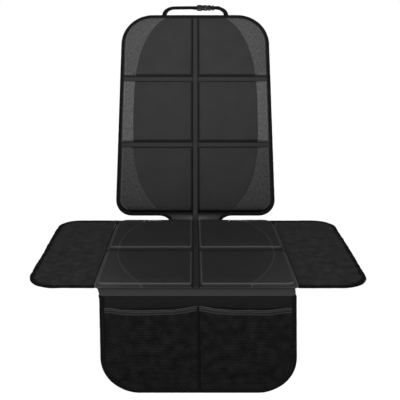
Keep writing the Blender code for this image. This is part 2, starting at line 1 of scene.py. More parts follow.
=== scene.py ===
"""Looks of a car seat protector mat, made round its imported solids.

Every cloth piece is drawn flat first, as it is cut: x runs across the mat, s runs along it from the
seat panel's front edge and h stands off its underside. lay() then folds it over the car seat.
"""

import math

import bpy
import numpy as np
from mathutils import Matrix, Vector, noise


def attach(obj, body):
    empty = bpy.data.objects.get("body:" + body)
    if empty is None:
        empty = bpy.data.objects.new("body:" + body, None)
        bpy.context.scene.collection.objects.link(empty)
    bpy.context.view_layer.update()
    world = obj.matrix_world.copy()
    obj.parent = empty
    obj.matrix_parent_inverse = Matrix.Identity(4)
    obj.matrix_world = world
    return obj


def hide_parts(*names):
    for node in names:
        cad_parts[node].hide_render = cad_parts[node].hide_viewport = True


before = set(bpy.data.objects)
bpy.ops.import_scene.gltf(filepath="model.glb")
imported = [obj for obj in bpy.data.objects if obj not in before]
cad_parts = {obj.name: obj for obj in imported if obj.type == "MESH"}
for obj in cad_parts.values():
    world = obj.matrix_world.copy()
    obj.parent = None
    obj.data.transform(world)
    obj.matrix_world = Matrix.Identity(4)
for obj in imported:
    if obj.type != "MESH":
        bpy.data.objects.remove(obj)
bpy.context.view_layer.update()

# Linings. Black non-slip cloth under the seat panel, the neck and the back panel, cut to their
# outlines. Rows of small rubber dots on it grip the car's own upholstery.

seat_depth = 0.463
neck_length = 0.031
back_length = 0.6545
apron_drop = 0.241
cushion_edge_radius = 0.014
neck_bend_radius = 0.038
neck_bend = math.radians(54)
lower_back_radius = 0.245
recline = math.radians(28)
past_the_top = 0.10
bend_step = math.radians(3)
apron_sway = 0.0032
apron_waist = 0.026
waist_rate = 11
apron_flare = 0.044

seat_edge = 0.2339
seat_front_corner = 0.020
seat_rear_corner = 0.036
back_foot = seat_depth + neck_length
back_top = back_foot + back_length - 0.0011
back_foot_edge = 0.2379
back_top_edge = 0.2329
back_foot_corner = 0.048
back_top_corner = 0.098
lining_thickness = 0.0012
lining_edge = 0.0012
lining_step = 0.0084
dot_pitch = 0.011
dot_radius = 0.0011
dot_rise = 0.0006
dot_inset = 0.014


def seat_profile():
    """Rows (s, y, z, outward y, outward z) up the cushion's front, over it and up the backrest."""
    heading = math.pi / 2
    lean = math.pi / 2 - recline
    runs = [(apron_drop, 0.0), (cushion_edge_radius * math.pi / 2, -math.pi / 2), (seat_depth, 0.0),
            (neck_bend_radius * neck_bend, neck_bend),
            (lower_back_radius * (lean - neck_bend), lean - neck_bend)]
    straight = neck_length + back_length - runs[3][0] - runs[4][0]
    runs.append((straight + past_the_top, 0.0))
    s = -runs[0][0] - runs[1][0]
    y = -seat_depth / 2 - cushion_edge_radius
    z = -cushion_edge_radius - apron_drop
    rows = [(s, y, z, -math.sin(heading), math.cos(heading))]
    for length, turn in runs:
        parts = max(1, math.ceil(abs(turn) / bend_step))
        half = turn / parts / 2
        chord = length / parts * (math.sin(half) / half if turn else 1)
        for _ in range(parts):
            heading += half
            y += chord * math.cos(heading)
            z += chord * math.sin(heading)
            heading += half
            s += length / parts
            rows.append((s, y, z, -math.sin(heading), math.cos(heading)))
    return np.array(rows)


profile = seat_profile()


def lay(flat):
    """Fold flat points (x, s, h) over the car seat. The apron hangs a little askew and flares."""
    x, s, h = np.asarray(flat, float).T
    hang = np.clip(-s / apron_drop, 0, 1)
    begun = np.clip(waist_rate * hang, 0, 1)
    x = x + begun * (apron_sway - apron_waist * x) + hang * (apron_sway + apron_flare * x)
    y, z, out_y, out_z = (np.interp(s, profile[:, 0], profile[:, k]) for k in range(1, 5))
    return np.column_stack((x, y + h * out_y, z + h * out_z))


class Wire:
    """A socket in a node tree. Sums and products of wires add the Math nodes that they need."""

    def __init__(self, tree, socket=None):
        self.tree = tree
        self.socket = socket

    def node(self, kind, settings=(), sockets=(), output=0):
        """Add a node, with its settings and then its sockets, and give one of its outputs."""
        made = self.tree.nodes.new(kind)
        for name, value in dict(settings).items():
            setattr(made, name, value)
        for name, value in dict(sockets).items():
            if isinstance(value, Wire):
                self.tree.links.new(value.socket, made.inputs[name])
            else:
                made.inputs[name].default_value = value
        return Wire(self.tree, made.outputs[output]) if made.outputs else None

    def out(self, name):
        """Another output of the node that this wire comes from."""
        return Wire(self.tree, self.socket.node.outputs[name])

    def math(self, operation, *values):
        return self.node("ShaderNodeMath", {"operation": operation}, dict(enumerate(values)))

    def blend(self, first, second):
        """Mix two colours by this wire."""
        return self.node("ShaderNodeMix", {"data_type": "RGBA"}, {0: self, 6: first, 7: second}, 2)

    def parts(self):
        """Its x. The outputs 1 and 2 beside it are its y and z."""
        return self.node("ShaderNodeSeparateXYZ", sockets={0: self})

    def __add__(self, other):
        return self.math("ADD", self, other)

    def __sub__(self, other):
        return self.math("SUBTRACT", self, other)

    def __rsub__(self, other):
        return self.math("SUBTRACT", other, self)

    def __mul__(self, other):
        return self.math("MULTIPLY", self, other)

    def __truediv__(self, other):
        return self.math("DIVIDE", self, other)

    __radd__ = __add__
    __rmul__ = __mul__


def grey(value):
    """A neutral colour of the given linear value."""
    return (value, value, value, 1.0)


def finish(name, dress, roughness, gloss=0.1):
    """A material whose colour and relief come from dress(start, place)."""
    made = bpy.data.materials.new(name)
    made.use_nodes = True
    shader = made.node_tree.nodes["Principled BSDF"]
    shader.inputs["Roughness"].default_value = roughness
    shader.inputs["Specular IOR Level"].default_value = gloss
    start = Wire(made.node_tree)
    place = start.node("ShaderNodeUVMap", {"uv_map": "flat"})
    colour, height, depth = dress(start, place)
    bump = start.node("ShaderNodeBump", sockets={"Strength": 1.0, "Distance": depth, "Height": height})
    made.node_tree.links.new(colour.socket, shader.inputs["Base Color"])
    made.node_tree.links.new(bump.socket, shader.inputs["Normal"])
    return made


def on_object(start):
    """Place on the object itself, for a piece that has no flat pattern."""
    return start.node("ShaderNodeTexCoord", output="Object")


def cloud(place, size, detail=2.0, along=1.0):
    """Noise of the given grain size, drawn out along s by the given factor."""
    scaled = place.node("ShaderNodeMapping", {"vector_type": "POINT"},
                        {"Vector": place, "Scale": (1 / size, 1 / size / along, 1 / size)})
    return place.node("ShaderNodeTexNoise", sockets={"Vector": scaled, "Scale": 1.0,
                                                     "Detail": detail})


def weave(place, pitch):
    """Checkered swell of a plain weave, from -1 to 1."""
    across = place.parts()
    turn = math.pi / pitch
    return across.math("SINE", across * turn) * across.math("SINE", across.out(1) * turn)


def lining_dress(start, place):
    thread = weave(place, 0.0009)
    return cloud(place, 0.03).blend(grey(0.018), grey(0.030)), thread, 0.00012


lining_finish = finish("non-slip lining", lining_dress, 0.9)


def in_scene(name, data):
    """A new object of the given data."""
    made = bpy.data.objects.new(name, data)
    bpy.context.scene.collection.objects.link(made)
    return made


def piece(name, flat, faces, material, stands_for=None, pattern=None):
    """Mesh folded from flat points, which rides on the mat and keeps its flat pattern as a UV map."""
    mesh = bpy.data.meshes.new(name)
    mesh.from_pydata([tuple(p) for p in lay(flat)], [], [tuple(f) for f in faces])
    corners = np.empty(len(mesh.loops), int)
    mesh.loops.foreach_get("vertex_index", corners)
    places = (flat if pattern is None else pattern)[corners, :2]
    mesh.uv_layers.new(name="flat").data.foreach_set("uv", places.ravel())
    mesh.materials.append(material)
    mesh.shade_smooth()
    made = in_scene(name, mesh)
    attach(made, "root")
    if stands_for:
        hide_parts(stands_for)
    return made


def thicken(made, thickness, offset=-1.0):
    """Give a sheet its thickness, below its face unless told otherwise."""
    modifier = made.modifiers.new("thickness", "SOLIDIFY")
    modifier.thickness = thickness
    modifier.offset = offset


def quads(rows, columns, turned=False):
    """Faces of a grid of points, row after row."""
    at = np.arange(rows * columns).reshape(rows, columns)
    corners = (at[:-1, :-1], at[:-1, 1:], at[1:, 1:], at[1:, :-1])
    faces = np.stack([c.ravel() for c in corners], axis=1)
    return faces[:, ::-1] if turned else faces


def arc(cx, cs, radius, start, stop, steps=12, wide=None):
    """Points round part of a circle, or of an ellipse where wide is given, in degrees."""
    angles = np.radians(np.linspace(start, stop, steps + 1))
    return np.column_stack((cx + (wide or radius) * np.cos(angles), cs + radius * np.sin(angles)))


def four_sides(low, high, left, right, radii):
    """Foot, top, left and right edges of a panel, which meet halfway round its rounded corners.

    left and right give x at s. radii go round from the left foot corner, against the clock.
    """
    a, b, c, d = radii
    halves = [(left(low + a) + a, low + a, a, 180), (right(low + b) - b, low + b, b, 270),
              (right(high - c) - c, high - c, c, 0), (left(high - d) + d, high - d, d, 90)]
    first = [arc(x, s, r, start, start + 45) for x, s, r, start in halves]
    second = [arc(x, s, r, start + 45, start + 90) for x, s, r, start in halves]
    foot = np.vstack((second[0], first[1]))
    top = np.vstack((second[2], first[3]))[::-1]
    right_side = np.vstack((second[1], first[2]))
    left_side = np.vstack((second[3], first[0]))[::-1]
    return foot, top, left_side, right_side


def measured(line, at):
    """Points at the given shares of a line's length."""
    steps = np.hypot(*np.diff(line, axis=0).T)
    length = np.concatenate(([0], np.cumsum(steps)))
    return np.column_stack([np.interp(at * length[-1], length, line[:, k]) for k in range(2)])


def shares(count, crowd=0.0):
    """Shares from 0 to 1, crowded towards both ends."""
    even = np.linspace(0, 1, count)
    return (1 - crowd) * even + crowd * (1 - np.cos(np.pi * even)) / 2


def filled(foot, top, left, right, across, along):
    """Grid of points that fills the space between four edges."""
    bottom, roof = measured(foot, across), measured(top, across)
    near, far = measured(left, along), measured(right, along)
    u = across[None, :, None]
    v = along[:, None, None]
    ruled = (1 - v) * bottom[None] + v * roof[None] + (1 - u) * near[:, None] + u * far[:, None]
    return ruled - ((1 - u) * (1 - v) * bottom[0] + u * (1 - v) * bottom[-1]
                    + (1 - u) * v * roof[0] + u * v * roof[-1])


def outline(sides):
    """Closed outline through a panel's foot, right, top and left edges."""
    foot, top, left, right = sides
    return np.vstack((foot, right[1:], top[::-1][1:], left[::-1][1:-1]))


def edge_distance(grid, sides):
    """Distance of each point of a grid from a panel's outline."""
    points = np.reshape(grid, (-1, 2))
    start = outline(sides)
    run = np.roll(start, -1, axis=0) - start
    away = points[:, None] - start[None]
    share = np.clip((away * run).sum(2) / np.maximum((run ** 2).sum(1), 1e-12), 0, 1)
    return np.hypot(*np.moveaxis(away - share[..., None] * run, 2, 0)).min(1)


def raised(grid, height):
    """Flat points of a grid, at the given height."""
    points = np.reshape(grid, (-1, 2))
    return np.column_stack((points, np.broadcast_to(height, len(points))))


def back_edge(s):
    """Half width of the back panel's cloth at s."""
    return back_foot_edge + (back_top_edge - back_foot_edge) * (s - back_foot) / back_length


def lining(name, sides, across, along):
    """One lining. Inside the binding it stands on the car seat, and its edge lies a little higher."""
    grid = filled(*sides, shares(across), shares(along))
    depth = edge_distance(grid, sides)
    lift = lining_edge * (1 - np.clip(depth / lining_step, 0, 1) ** 4)
    flat = raised(grid, lift)
    made = piece(name, flat, quads(along, across), lining_finish, name)
    thicken(made, lining_thickness, 1.0)


def new_tree(name, seed, sizes):
    """An empty Geometry Nodes tree: its seed geometry, sizes and material come in by name."""
    tree = bpy.data.node_groups.new(name, "GeometryNodeTree")
    kinds = [(seed, "Geometry")] + [(size, "Float") for size in sizes] + [("Finish", "Material")]
    for label, kind in kinds:
        tree.interface.new_socket(label, in_out="INPUT", socket_type="NodeSocket" + kind)
    tree.interface.new_socket("Grown", in_out="OUTPUT", socket_type="NodeSocketGeometry")
    return Wire(tree).node("NodeGroupInput")


def close_tree(given, grown_mesh):
    """End a tree: everything made real, given its material and handed out."""
    plain = given.node("GeometryNodeRealizeInstances", sockets={0: grown_mesh})
    dressed = given.node("GeometryNodeSetMaterial", sockets={
        "Geometry": plain, "Material": given.out("Finish")})
    given.node("NodeGroupOutput", sockets={0: dressed})
    return given.tree


def rubber_tree():
    """Geometry Nodes: one low rubber dot on each point of a mesh."""
    given = new_tree("rubber dots", "Points", ("Radius",))
    dot = given.node("GeometryNodeMeshUVSphere", sockets={
        "Segments": 6, "Rings": 4, "Radius": given.out("Radius")})
    placed = given.node("GeometryNodeInstanceOnPoints", sockets={"Points": given, "Instance": dot})
    return close_tree(given, placed)


def grown(name, points, edges, faces, tree, material, sizes):
    """Plain mesh that a Geometry Nodes tree grows from a mesh of points, edges or faces."""
    mesh = bpy.data.meshes.new(name)
    mesh.from_pydata([tuple(p) for p in points], edges, faces)
    seed = in_scene("seed", mesh)
    modifier = seed.modifiers.new("grow", "NODES")
    modifier.node_group = tree
    for item in tree.interface.items_tree:
        if item.in_out == "INPUT" and item.name in sizes:
            modifier[item.identifier] = sizes[item.name]
        elif item.in_out == "INPUT" and item.socket_type == "NodeSocketMaterial":
            modifier[item.identifier] = material
    bpy.context.view_layer.update()
    ready = seed.evaluated_get(bpy.context.evaluated_depsgraph_get())
    result = bpy.data.meshes.new_from_object(ready)
    bpy.data.objects.remove(seed, do_unlink=True)
    result.name = name
    result.shade_smooth()
    made = in_scene(name, result)
    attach(made, "root")
    return made


def rubber_dress(start, place):
    grain = cloud(on_object(start), 0.0008)
    return grain.blend(grey(0.012), grey(0.020)), grain, 0.00004


rubber_finish = finish("rubber dots", rubber_dress, 0.55)


def inside_outline(point, sides):
    """True if a point lies inside a panel's outline."""
    start = outline(sides)
    stop = np.roll(start, -1, axis=0)
    crosses = (start[:, 1] > point[1]) != (stop[:, 1] > point[1])
    a, b = start[crosses], stop[crosses]
    at = a[:, 0] + (point[1] - a[:, 1]) / (b[:, 1] - a[:, 1]) * (b[:, 0] - a[:, 0])
    return np.count_nonzero(at > point[0]) % 2 == 1


def rubber_dots(name, sides):
    """Rows of dots on the underside of a lining, every second row moved by half a pitch."""
    x0, s0 = outline(sides).min(0)
    x1, s1 = outline(sides).max(0)
    points = [(x + k % 2 * dot_pitch / 2, s)
              for k, s in enumerate(np.arange(s0, s1, dot_pitch * math.sqrt(3) / 2))
              for x in np.arange(x0, x1, dot_pitch)]
    points = np.array([p for p in points if inside_outline(p, sides)])
    points = points[edge_distance(points, sides) > dot_inset]
    grown(name, lay(raised(points, dot_radius - dot_rise)), [], [], dots_tree, rubber_finish,
          {"Radius": dot_radius})


dots_tree = rubber_tree()
seat_outline = four_sides(0.0003, seat_depth - 0.0003, lambda s: -seat_edge, lambda s: seat_edge,
                          (seat_front_corner, seat_front_corner, seat_rear_corner, seat_rear_corner))
back_outline = four_sides(back_foot + 0.0003, back_top, lambda s: -back_edge(s), back_edge,
                          (back_foot_corner, back_foot_corner, back_top_corner, back_top_corner))
lining("seat_lining", seat_outline, 60, 60)
lining("back_lining", back_outline, 60, 90)
rubber_dots("seat_lining_dots", seat_outline)
rubber_dots("back_lining_dots", back_outline)

# Binding tape. A ribbed black tape is folded over the edge of every layer of the body, from the
# seat panel's rear corners round the neck and the back panel, and sewn through near its inner edge.

neck_edge = 0.0761
neck_flare = 0.034
neck_fillet = 0.006
binding_reach = 0.008
binding_wrap = 0.0011
binding_thickness = 0.0008
binding_top = 0.0048
binding_body = 0.0018
binding_low = 0.0001
tape_step = 0.004
tape_lip = 0.0003
tape_seam = 0.78
tape_pull_size = 0.016
tape_puff_size = 0.011
tape_puff = 0.00025
tape_stitch = (0.0042, 0.0031, 0.0008)


def body_edge():
    """Right edge of the body's cloth, from the seat's side to the middle of the back's top."""
    r = seat_rear_corner
    line = [arc(seat_edge - r, seat_depth - r, r, 0, 90)]
    f = neck_fillet
    line.append(arc(neck_edge + f, seat_depth + f, f, 270, 180, 6))
    rise = neck_length - f
    line.append(arc(neck_edge + neck_flare, back_foot - rise, rise, 180, 90, 12, neck_flare)[1:])
    r = back_foot_corner
    line.append(arc(back_edge(back_foot + r) - r, back_foot + r, r, 270, 360))
    r = back_top_corner
    line.append(arc(back_edge(back_top - r) - r, back_top - r, r, 0, 90, 24))
    return np.vstack(line)


def stepped(line):
    """A line cut into even steps, with the direction to its left at each point."""
    total = np.hypot(*np.diff(line, axis=0).T).sum()
    even = measured(line, np.linspace(0, 1, max(2, round(total / tape_step)) + 1))
    ahead = np.gradient(even, axis=0)
    ahead /= np.hypot(*ahead.T)[:, None]
    return even, np.column_stack((-ahead[:, 1], ahead[:, 0])), total


def wander(points, size, height, seed):
    """Soft uneven height at flat points, with the given distance between swells."""
    return np.array([noise.noise(Vector((x / size, s / size, seed))) for x, s in points]) * height


def tape_dress(start, place):
    along = place.parts()
    rib = start.math("SINE", along * (2 * math.pi / 0.0011))
    wear = cloud(place, 0.012)
    return (rib * 0.1 + wear * 0.8).blend(grey(0.004), grey(0.011)), rib, 0.00013


def thread_dress(start, place):
    twist = cloud(on_object(start), 0.0005)
    return twist.blend(grey(0.012), grey(0.035)), twist, 0.00005


tape_finish = finish("binding tape", tape_dress, 0.72)
thread_finish = finish("sewing thread", thread_dress, 0.6)


def tape(name, line, low, high, lift=None, stands_for=None, uneven=0.10):
    """Binding tape folded over the edge of a cloth, which lies to the left of the line."""
    even, inward, total = stepped(line)
    middle = (low + high) / 2
    half = (high - low) / 2
    turn = np.radians(np.arange(90, 271, 30))
    section = [(binding_reach, half - tape_lip), (binding_reach * 0.8, half), (binding_reach * 0.4, half)]
    section += [((binding_wrap + binding_body) * math.cos(a), half * math.sin(a)) for a in turn]
    section += [(binding_reach * 0.4, -half), (binding_reach, -half)]
    depth, height = np.array(section).T
    pull = 1 + wander(even, tape_pull_size, uneven, 3.0)
    puff = wander(even, tape_puff_size, tape_puff, 7.0)
    rise = np.zeros(len(even)) if lift is None else lift(even)
    rows = []
    for k, (point, way) in enumerate(zip(even, inward)):
        places = point + np.outer(depth * pull[k], way)
        rows.append(np.column_stack((places, middle + rise[k] + height + puff[k] * (height > 0))))
    flat = np.vstack(rows)
    around = np.cumsum(np.concatenate(([0], np.hypot(np.diff(depth), np.diff(height)))))
    pattern = np.column_stack([c.ravel() for c in np.meshgrid(np.linspace(0, total, len(even)), around,
                                                              indexing="ij")])
    made = piece(name, flat, quads(len(even), len(section)), tape_finish, stands_for,
                 pattern)
    thicken(made, binding_thickness)
    seam = even + inward * (binding_reach * tape_seam * pull)[:, None]
    sew(name + "_stitches", [raised(seam, high + rise + puff)])


def stitches_tree():
    """Geometry Nodes: stitches of one length along every line of a mesh of edges."""
    given = new_tree("stitches", "Lines", ("Pitch", "Length", "Width"))
    curve = given.node("GeometryNodeMeshToCurve", sockets={0: given})
    spaced = given.node("GeometryNodeResampleCurve", {"mode": "LENGTH"},
                        {"Curve": curve, "Length": given.out("Pitch")})
    half = given.node("ShaderNodeCombineXYZ", sockets={
        0: given.out("Length") * 0.5, 1: given.out("Width") * 0.5, 2: given.out("Width") * 0.5})
    thread = given.node("GeometryNodeMeshIcoSphere", sockets={"Radius": 1.0, "Subdivisions": 2})
    way = given.node("FunctionNodeAlignRotationToVector", {"axis": "X"},
                     {"Vector": given.node("GeometryNodeInputTangent")})
    placed = given.node("GeometryNodeInstanceOnPoints", sockets={
        "Points": spaced, "Instance": thread, "Rotation": way, "Scale": half})
    return close_tree(given, placed)


stitch_tree = stitches_tree()


def sew(name, lines, stitch=tape_stitch):
    """Stitches of the given pitch, length and width along flat lines of (x, s, h) points."""
    pitch, length, width = stitch
    points = np.vstack(lines)
    edges = []
    first = 0
    for line in lines:
        edges += [(first + k, first + k + 1) for k in range(len(line) - 1)]
        first += len(line)
    grown(name, lay(points), edges, [], stitch_tree, thread_finish,
          {"Pitch": pitch, "Length": length, "Width": width})


right_side = body_edge()
whole_edge = np.vstack((right_side, (right_side * (-1, 1))[::-1][1:]))
tape("mat_binding_tape", whole_edge, binding_low, binding_top, stands_for="mat_binding")

# Padded cells. Each cell of the back and the seat is a foam pad under a cover. The cover is sewn
# down all round, so it swells up from a flat edge and rounds over the foam. A dark woven cloth
# covers the middle, and a second cloth meets it in one long curved seam down each side.

cover_high = 0.0037
cover_thickness = 0.0008
pad_rise = 0.0085
back_pad_edge = 0.010
seat_pad_edge = 0.007
ease_width = 0.025
pad_inset = 0.009
seam_allowance = 0.001
strip_half = 0.008
gap = 0.0003
upper_channel = 0.4375
lower_channel = 0.2220
seat_channel = 0.219
seat_front_inset = 0.003
small_corner = 0.004
seam_valley = 0.0007
seam_half = 0.0024
swell_limit = 0.0024
# Painted light and shade on the covers: a brightness for each cell's side cloth, painted light at the
# seat's front corners, painted shade at the seat's foot, at the back's pad edges and over its lower cells,
# and the places and widths of painted highlight lines along the pads' rims and seams.
side_tones = {"lower": -0.18, "middle": 0.42, "upper": 0.04, "front": 0.12, "rear": 0.0}
corner_tones = {-1: 0.62, 1: 0.4}
corner_reach = 0.075
corner_stretch = 0.6
seat_foot_shade = 0.35
seat_foot_reach = 0.005
back_edge_shade = 0.5
back_edge_reach = 0.003
back_foot_shade = 0.35
back_foot_reach = 0.010
back_lower_shade = 0.30
back_lower_reach = 0.08
front_roll = 0.012
front_rim = 0.0044
seat_rim = 0.0026
seat_rim_half = 0.0017
back_rim = 0.0035
back_rim_half = 0.0018
back_rim_reach = 0.03
seat_line_half = 0.0022
back_line_half = 0.0014
no_line = 9.0
back_field_half = 0.193
back_field_centre = back_foot + 0.313
back_field_rise = 0.363
back_field_fall = 0.338
seat_field_half = 0.200
seat_field_reach = 0.290
valley_ramp = 0.004
pucker_size = 0.007
pucker_height = 0.0012
pucker_reach = 0.006
pad_tilt_size = 0.07
pad_tilt = 0.0006
field_stitch = (0.0040, 0.0028, 0.0006)
both_sides = (("left", -1), ("right", 1))


def back_seam(s):
    """Half width of the back's dark centre field at s."""
    away = s - back_field_centre
    share = np.minimum(1, np.abs(away) / np.where(away > 0, back_field_rise, back_field_fall))
    return back_field_half * np.sqrt(1 - share ** 3)


def seat_seam(s):
    """Half width of the oval seam on the seat at s."""
    share = np.minimum(1, np.abs(s - seat_depth / 2) / seat_field_reach)
    return seat_field_half * np.sqrt(1 - share ** 2)


class Cell:
    """One cell on the right of the mat: the pad's outline, and the cloth's outline round it."""

    def __init__(self, low, high, edge, seam, foot_corner, top_corner, insets):
        self.seam = seam
        start = strip_half + gap
        foot, side, top = insets
        pad = start + seam_allowance
        self.pad = four_sides(
            low + foot, high - top, lambda s: pad, lambda s: edge(s) - side,
            (small_corner, max(small_corner, foot_corner - foot),
             max(small_corner, top_corner - top), small_corner))
        self.cloth = four_sides(low, high, lambda s: start, edge,
                                (seam_allowance, foot_corner, top_corner, seam_allowance))

    def split(self, sides):
        """Foot, top, left and right edges of the face and of the side cloth of an outline."""
        foot, top, left, right = sides
        rows = np.linspace(foot[:, 1].min(), top[:, 1].max(), 60)
        seam = np.column_stack((self.seam(rows), rows))
        foot_face, foot_side = parted(foot, seam[0])
        top_face, top_side = parted(top, seam[-1])
        return (foot_face, top_face, left, seam), (foot_side, top_side, seam, right)


def parted(line, point):
    """The two parts of a left-to-right line, cut where it passes a point."""
    before = line[line[:, 0] < point[0]]
    after = line[line[:, 0] >= point[0]]
    return np.vstack((before, point)), np.vstack((point, after))


face_shares = shares(38, 0.6)
side_shares = shares(14, 0.6)
row_shares = shares(44, 0.6)


def cell_grid(cell):
    """Flat grid of a pad, face and side cloth together, and the cloth's edge round it."""
    grids = []
    rims = []
    for pad, cloth, across in zip(cell.split(cell.pad), cell.split(cell.cloth),
                                  (face_shares, side_shares)):
        grids.append(filled(*pad, across, row_shares))
        rims.append([measured(cloth[0], across), measured(cloth[1], across)])
    grid = np.hstack((grids[0], grids[1][:, 1:]))
    foot, top = (np.vstack((rims[0][k], rims[1][k][1:])) for k in (0, 1))
    left = measured(cell.cloth[2], row_shares)
    right = measured(cell.cloth[3], row_shares)
    rim = np.vstack((foot, right[1:-1], top[::-1], left[::-1][1:-1]))
    return grid, rim


def pad_height(points, sides, roll):
    """Height of a pad over its outline: a quarter ellipse up from the edge, then level foam."""
    share = np.clip(edge_distance(points, sides) / roll, 0, 1)
    return cover_high + pad_rise * np.sqrt(1 - (1 - share) ** 2)


def grid_rim(rows, columns):
    """Indices of a grid's outermost points, from its foot round to the left."""
    at = np.arange(rows * columns).reshape(rows, columns)
    return np.concatenate((at[0], at[1:-1, -1], at[-1, ::-1], at[-2:0:-1, 0]))


def swollen(flat, faces, held, ease):
    """Blow a cover up a little with Blender's cloth, held along its sewn edges."""
    mesh = bpy.data.meshes.new("cover")
    mesh.from_pydata([tuple(p) for p in flat], [], [tuple(f) for f in faces])
    made = in_scene("cover", mesh)
    pins = made.vertex_groups.new(name="sewn")
    pins.add([int(k) for k in held], 1.0, "REPLACE")
    cloth = made.modifiers.new("cloth", "CLOTH")
    cloth.settings.quality = 6
    cloth.settings.mass = 0.15
    cloth.settings.tension_stiffness = 25
    cloth.settings.compression_stiffness = 25
    cloth.settings.shear_stiffness = 15
    cloth.settings.bending_stiffness = 0.05
    cloth.settings.shrink_min = -0.006
    cloth.settings.use_pressure = True
    cloth.settings.uniform_pressure_force = 4
    cloth.settings.effector_weights.gravity = 0
    cloth.settings.vertex_group_mass = "sewn"
    cloth.collision_settings.use_collision = False
    scene = bpy.context.scene
    for number in range(1, 21):
        scene.frame_set(number)
    ready = made.evaluated_get(bpy.context.evaluated_depsgraph_get())
    moved = np.empty(len(flat) * 3)
    ready.data.vertices.foreach_get("co", moved)
    bpy.data.objects.remove(made, do_unlink=True)
    scene.frame_set(1)
    step = (moved.reshape(-1, 3) - flat) * (0.4, 0.4, 1)
    size = np.linalg.norm(step, axis=1, keepdims=True)
    return flat + step * np.minimum(1, swell_limit / np.maximum(size, 1e-9)) * ease[:, None]


def toned(colour, rim_light, seam_light):
    """A colour with painted light and shade from its mesh's values, and painted highlight lines where rim
    or seam is 0.
    """
    tone, rim, seam = (colour.node("ShaderNodeAttribute", {"attribute_name": name}, output="Fac")
                       for name in ("tone", "rim", "seam"))
    # Painted highlight lines along the pads' rims and along one seam.
    lines = colour.math("POWER", 0.37, rim * rim) * rim_light
    lines = lines + colour.math("POWER", 0.37, seam * seam) * seam_light
    return colour.node("ShaderNodeVectorMath", {"operation": "SCALE"},
                       {0: colour, "Scale": tone + lines + 1.0})


def set_painted_light(made, **values):
    """Give a mesh's points the painted light and shade values that the cloth colours read."""
    for name in ("tone", "rim", "seam"):
        usual = 0.0 if name == "tone" else no_line
        given = np.zeros(len(made.data.vertices)) + values.get(name, usual)
        made.data.attributes.new(name, "FLOAT", "POINT").data.foreach_set("value", given)


def faded(away, reach):
    """A share that falls from 1 at a line to nearly 0 at twice the reach from it."""
    return np.exp(-(away / reach) ** 2)


def cloth_tones(panel, where, side, cell, points, edge, spread):
    """Painted light and shade of a cover at its points, and how far they lie from its painted rim highlight
    and from its painted seam highlight.
    """
    up = points[:, 1] - cell.pad[0][:, 1].min()
    # Painted light at the seat's front corners and painted shade along the foot of its cells.
    if panel == "seat":
        corner = np.hypot(seat_edge - np.abs(points[:, 0]), corner_stretch * points[:, 1])
        tone = (corner_tones[side] * faded(corner, corner_reach)
                - seat_foot_shade * faded(up, seat_foot_reach))
        rim = (edge - np.where(up < front_roll, front_rim, seat_rim)) / seat_rim_half
        return tone, rim, spread / seat_line_half
    # Painted shade at the back's pad edges, along the lower cells' foot and over the whole lower cells.
    tone = -back_edge_shade * faded(edge, back_edge_reach)
    if where == "lower":
        tone = (tone - back_foot_shade * faded(up, back_foot_reach)
                - back_lower_shade * np.exp(-up / back_lower_reach))
    beside = cell.pad[3][:, 0].max() - np.abs(points[:, 0]) < back_rim_reach
    rim = np.where(beside, (edge - back_rim) / back_rim_half, no_line)
    lit = side < 0 and where != "lower"
    return tone, rim, spread / back_line_half if lit else np.full(len(points), no_line)


def smooth_dress(start, place):
    thread = weave(place, 0.0008)
    slub = cloud(place, 0.0022, along=2.5)
    patch = cloud(place, 0.05)
    shade = slub * 0.5 + patch * 0.5
    # This cloth takes painted light and shade from its mesh, with painted highlight lines of strength 2.5
    # along pad rims and 0.9 along seams.
    return toned(shade.blend(grey(0.023), grey(0.042)), 2.5, 0.9), thread * 0.6 + slub, 0.00014


def melange_dress(start, place):
    yarn = cloud(place, 0.0007, 3.0, 3.5)
    slub = cloud(place, 0.004, 3.0, 2.0)
    fleck = start.math("MINIMUM", start.math("MAXIMUM", yarn * 1.6 + slub * 1.2 - 0.95, 0.0), 1.0)
    # This cloth takes painted light and shade from its mesh, with painted highlight lines of strength 0.7
    # along pad rims and 0.9 along the seam.
    cloth = toned(fleck.blend(grey(0.028), grey(0.122)), 0.7, 0.9)
    return cloth, yarn + weave(place, 0.0010) * 0.3, 0.00018


smooth_finish = finish("smooth woven cloth", smooth_dress, 0.6)
melange_finish = finish("melange cloth", melange_dress, 0.8)

channels = (back_foot + lower_channel, back_foot + upper_channel)
half_channel = strip_half + gap


def both_channels(low_end, high_end, marks):
    """Ends of the cells between the marks of the channels, from low to high."""
    edges = [low_end] + [m + k * half_channel for m in marks for k in (-1, 1)] + [high_end]
    return list(zip(edges[::2], edges[1::2]))


cells = {}
names = ("lower", "middle", "upper")
for k, (low, high) in enumerate(both_channels(back_foot + gap, back_top, channels)):
    cells["back", names[k]] = Cell(
        low, high, back_edge, back_seam, back_foot_corner if k == 0 else seam_allowance,
        back_top_corner if k == 2 else seam_allowance,
        (pad_inset if k == 0 else seam_allowance, pad_inset, pad_inset if k == 2 else seam_allowance))
for k, (low, high) in enumerate(both_channels(0.0, seat_depth - gap, (seat_channel,))):
    cells["seat", ("front", "rear")[k]] = Cell(
        low, high, lambda s: seat_edge, seat_seam, seat_front_corner if k == 0 else seam_allowance,
        seat_rear_corner if k == 1 else seam_allowance,
        (seat_front_inset if k == 0 else seam_allowance, pad_inset,
         pad_inset if k == 1 else seam_allowance))

rows, columns = len(row_shares), len(face_shares) + len(side_shares) - 1
grid_faces = quads(rows, columns)
border = grid_rim(rows, columns)
rim_count = len(border)
ring = rows * columns + np.arange(rim_count)
rim_faces = np.column_stack((ring, np.roll(ring, -1), np.roll(border, -1), border))
cell_faces = np.vstack((grid_faces, rim_faces))
cell_points = rows * columns + rim_count

